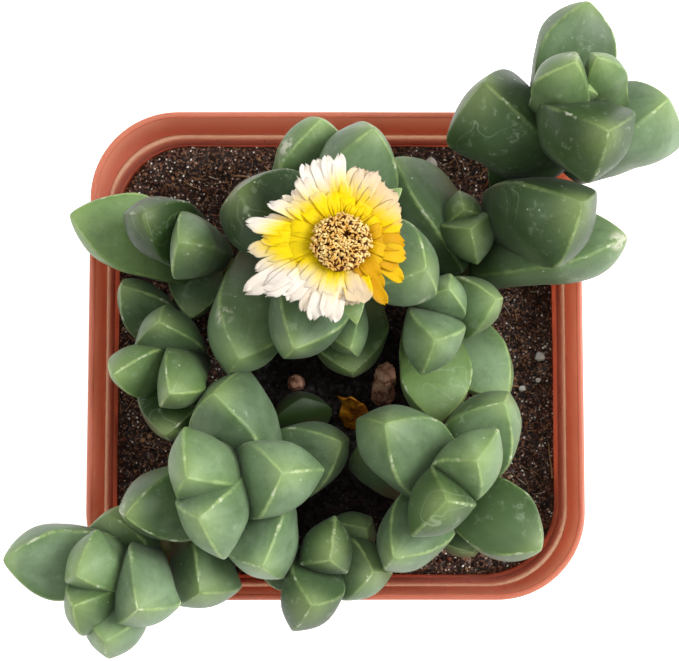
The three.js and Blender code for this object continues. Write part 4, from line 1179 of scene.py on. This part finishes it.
woodMaterial = makeWoodMaterial()
for name, (node, *values) in stubs.items():
    addPiece(name, [stubShell(*values)], woodMaterial, "dry_wood", node)

witheredValues = {
    "path": [(3.1, -13.2, 68.2), (2.8, -11.8, 70.7), (3.4, -10.4, 73.5), (2.8, -9, 76.3),
             (1.9, -8.2, 78.4)],
    "halfWidth": 2.6, "halfThickness": 0.16,
}


def witheredShell():
    # A dried petal: a thin curved section carried up a bent path, its edges crumpled by
    # waves that grow towards the top
    path = smoothPath(witheredValues["path"], 12)[None]
    tangent = unit(np.gradient(path, axis=1))
    side = unit(np.cross(tangent, np.array([0.2, 1.0, 0.1])))
    normal = np.cross(side, tangent)
    rows, columns = path.shape[1], 28
    t = np.linspace(0, 1, rows)[None, :, None]
    around = turns(columns)[None, None]
    half = witheredValues["halfWidth"] * (0.55 + 0.45 * np.sin(np.pi * np.minimum(t, 0.62)))
    half = half * np.sqrt(1 - np.clip(t - 0.9, 0, 1) ** 2 * 60)
    out = np.cos(around) * half
    up = witheredValues["halfThickness"] * np.sin(around) + 0.192 * np.cos(around) ** 2 * half
    up = up + 0.22 * np.sin(9 * t + 3 * np.cos(around)) * (0.3 + t)
    up = up + 0.12 * np.sin(17 * t + 5 * np.cos(around))
    rings = path[:, :, None] + side[:, :, None] * out[..., None]
    return shellFrom(rings + normal[:, :, None] * up[..., None])


def makeWitheredMaterial():
    place = openMaterial("witheredPetal", {"Roughness": 0.7, "Specular IOR Level": 0.25})
    cloud = noiseAt(place, 380, 4, 0.65)
    fine = noiseAt(place, 1400)
    base = coats("6E3A08", (ramp(cloud, 0.35, 0.6), "B8780F"), (ramp(cloud, 0.55, 0.72), "D69A30"),
                 (ramp(fine, 0.6, 0.75, 0, 0.6), "3C1D06"))
    return finishMaterial(base, None, fine, 0.6, 0.0004)


addPiece("witheredPiece", [witheredShell()], makeWitheredMaterial(), "withered", "withered_petal")


# Floor, light and camera

studio = {
    "floorSize": 6.0,
    "skyStrength": 0.37,
    "lamps": (
        # place, target, size, watts
        ((0.62, 0.1, 0.74), (0, 0, 0.08), 0.45, 8.2),
        ((-0.62, -0.15, 0.7), (0, 0, 0.08), 0.5, 1.5),
        ((-0.05, 0.1, 1.0), (0, 0, 0.08), 0.7, 1.8),
    ),
    "cameraPlace": (0.0, -0.0364, 0.4583),
    "cameraTarget": (0.0007, 0.0041, 0.080),
    "lens": 110.8,
}


def turnTo(obj, place, target, top):
    # Looks from a place to a target with the picture's top towards a direction
    forward = (Vector(target) - Vector(place)).normalized()
    right = forward.cross(Vector(top)).normalized()
    up = right.cross(forward)
    obj.matrix_world = Matrix.Translation(place) @ Matrix((right, up, -forward)).transposed().to_4x4()


def makeFloor():
    half = studio["floorSize"] / 2
    mesh = bpy.data.meshes.new("floor")
    corners = [(-half, -half, 0), (half, -half, 0), (half, half, 0), (-half, half, 0)]
    mesh.from_pydata(corners, [], [(0, 1, 2, 3)])
    openMaterial("paleFloor", {
        "Base Color": (0.9, 0.9, 0.9, 1), "Roughness": 0.9, "Specular IOR Level": 0.1,
        "Emission Color": (1, 1, 1, 1), "Emission Strength": 0.7})
    mesh.materials.append(making["material"])
    floor = link("floor", mesh)


def makeStudio():
    scene = bpy.context.scene
    world = bpy.data.worlds.new("paleStudio")
    world.use_nodes = True
    sky = world.node_tree.nodes["Background"].inputs
    sky["Color"].default_value = (1, 1, 1, 1)
    sky["Strength"].default_value = studio["skyStrength"]
    scene.world = world
    for number, (place, target, size, watts) in enumerate(studio["lamps"]):
        light = bpy.data.lights.new(f"softLamp{number + 1}", "AREA")
        light.size = size
        light.energy = watts
        turnTo(link(light.name, light), place, target, (0, 1, 0.01))
    lens = bpy.data.cameras.new("camera")
    lens.lens = studio["lens"]
    lens.sensor_width = 36
    lens.sensor_fit = "HORIZONTAL"
    lens.clip_start, lens.clip_end = 0.01, 20
    scene.camera = link("camera", lens)
    turnTo(scene.camera, studio["cameraPlace"], studio["cameraTarget"], (0, 1, 0))
    scene.view_settings.view_transform = "Standard"


makeFloor()
makeStudio()
print("floor, lights and camera made")
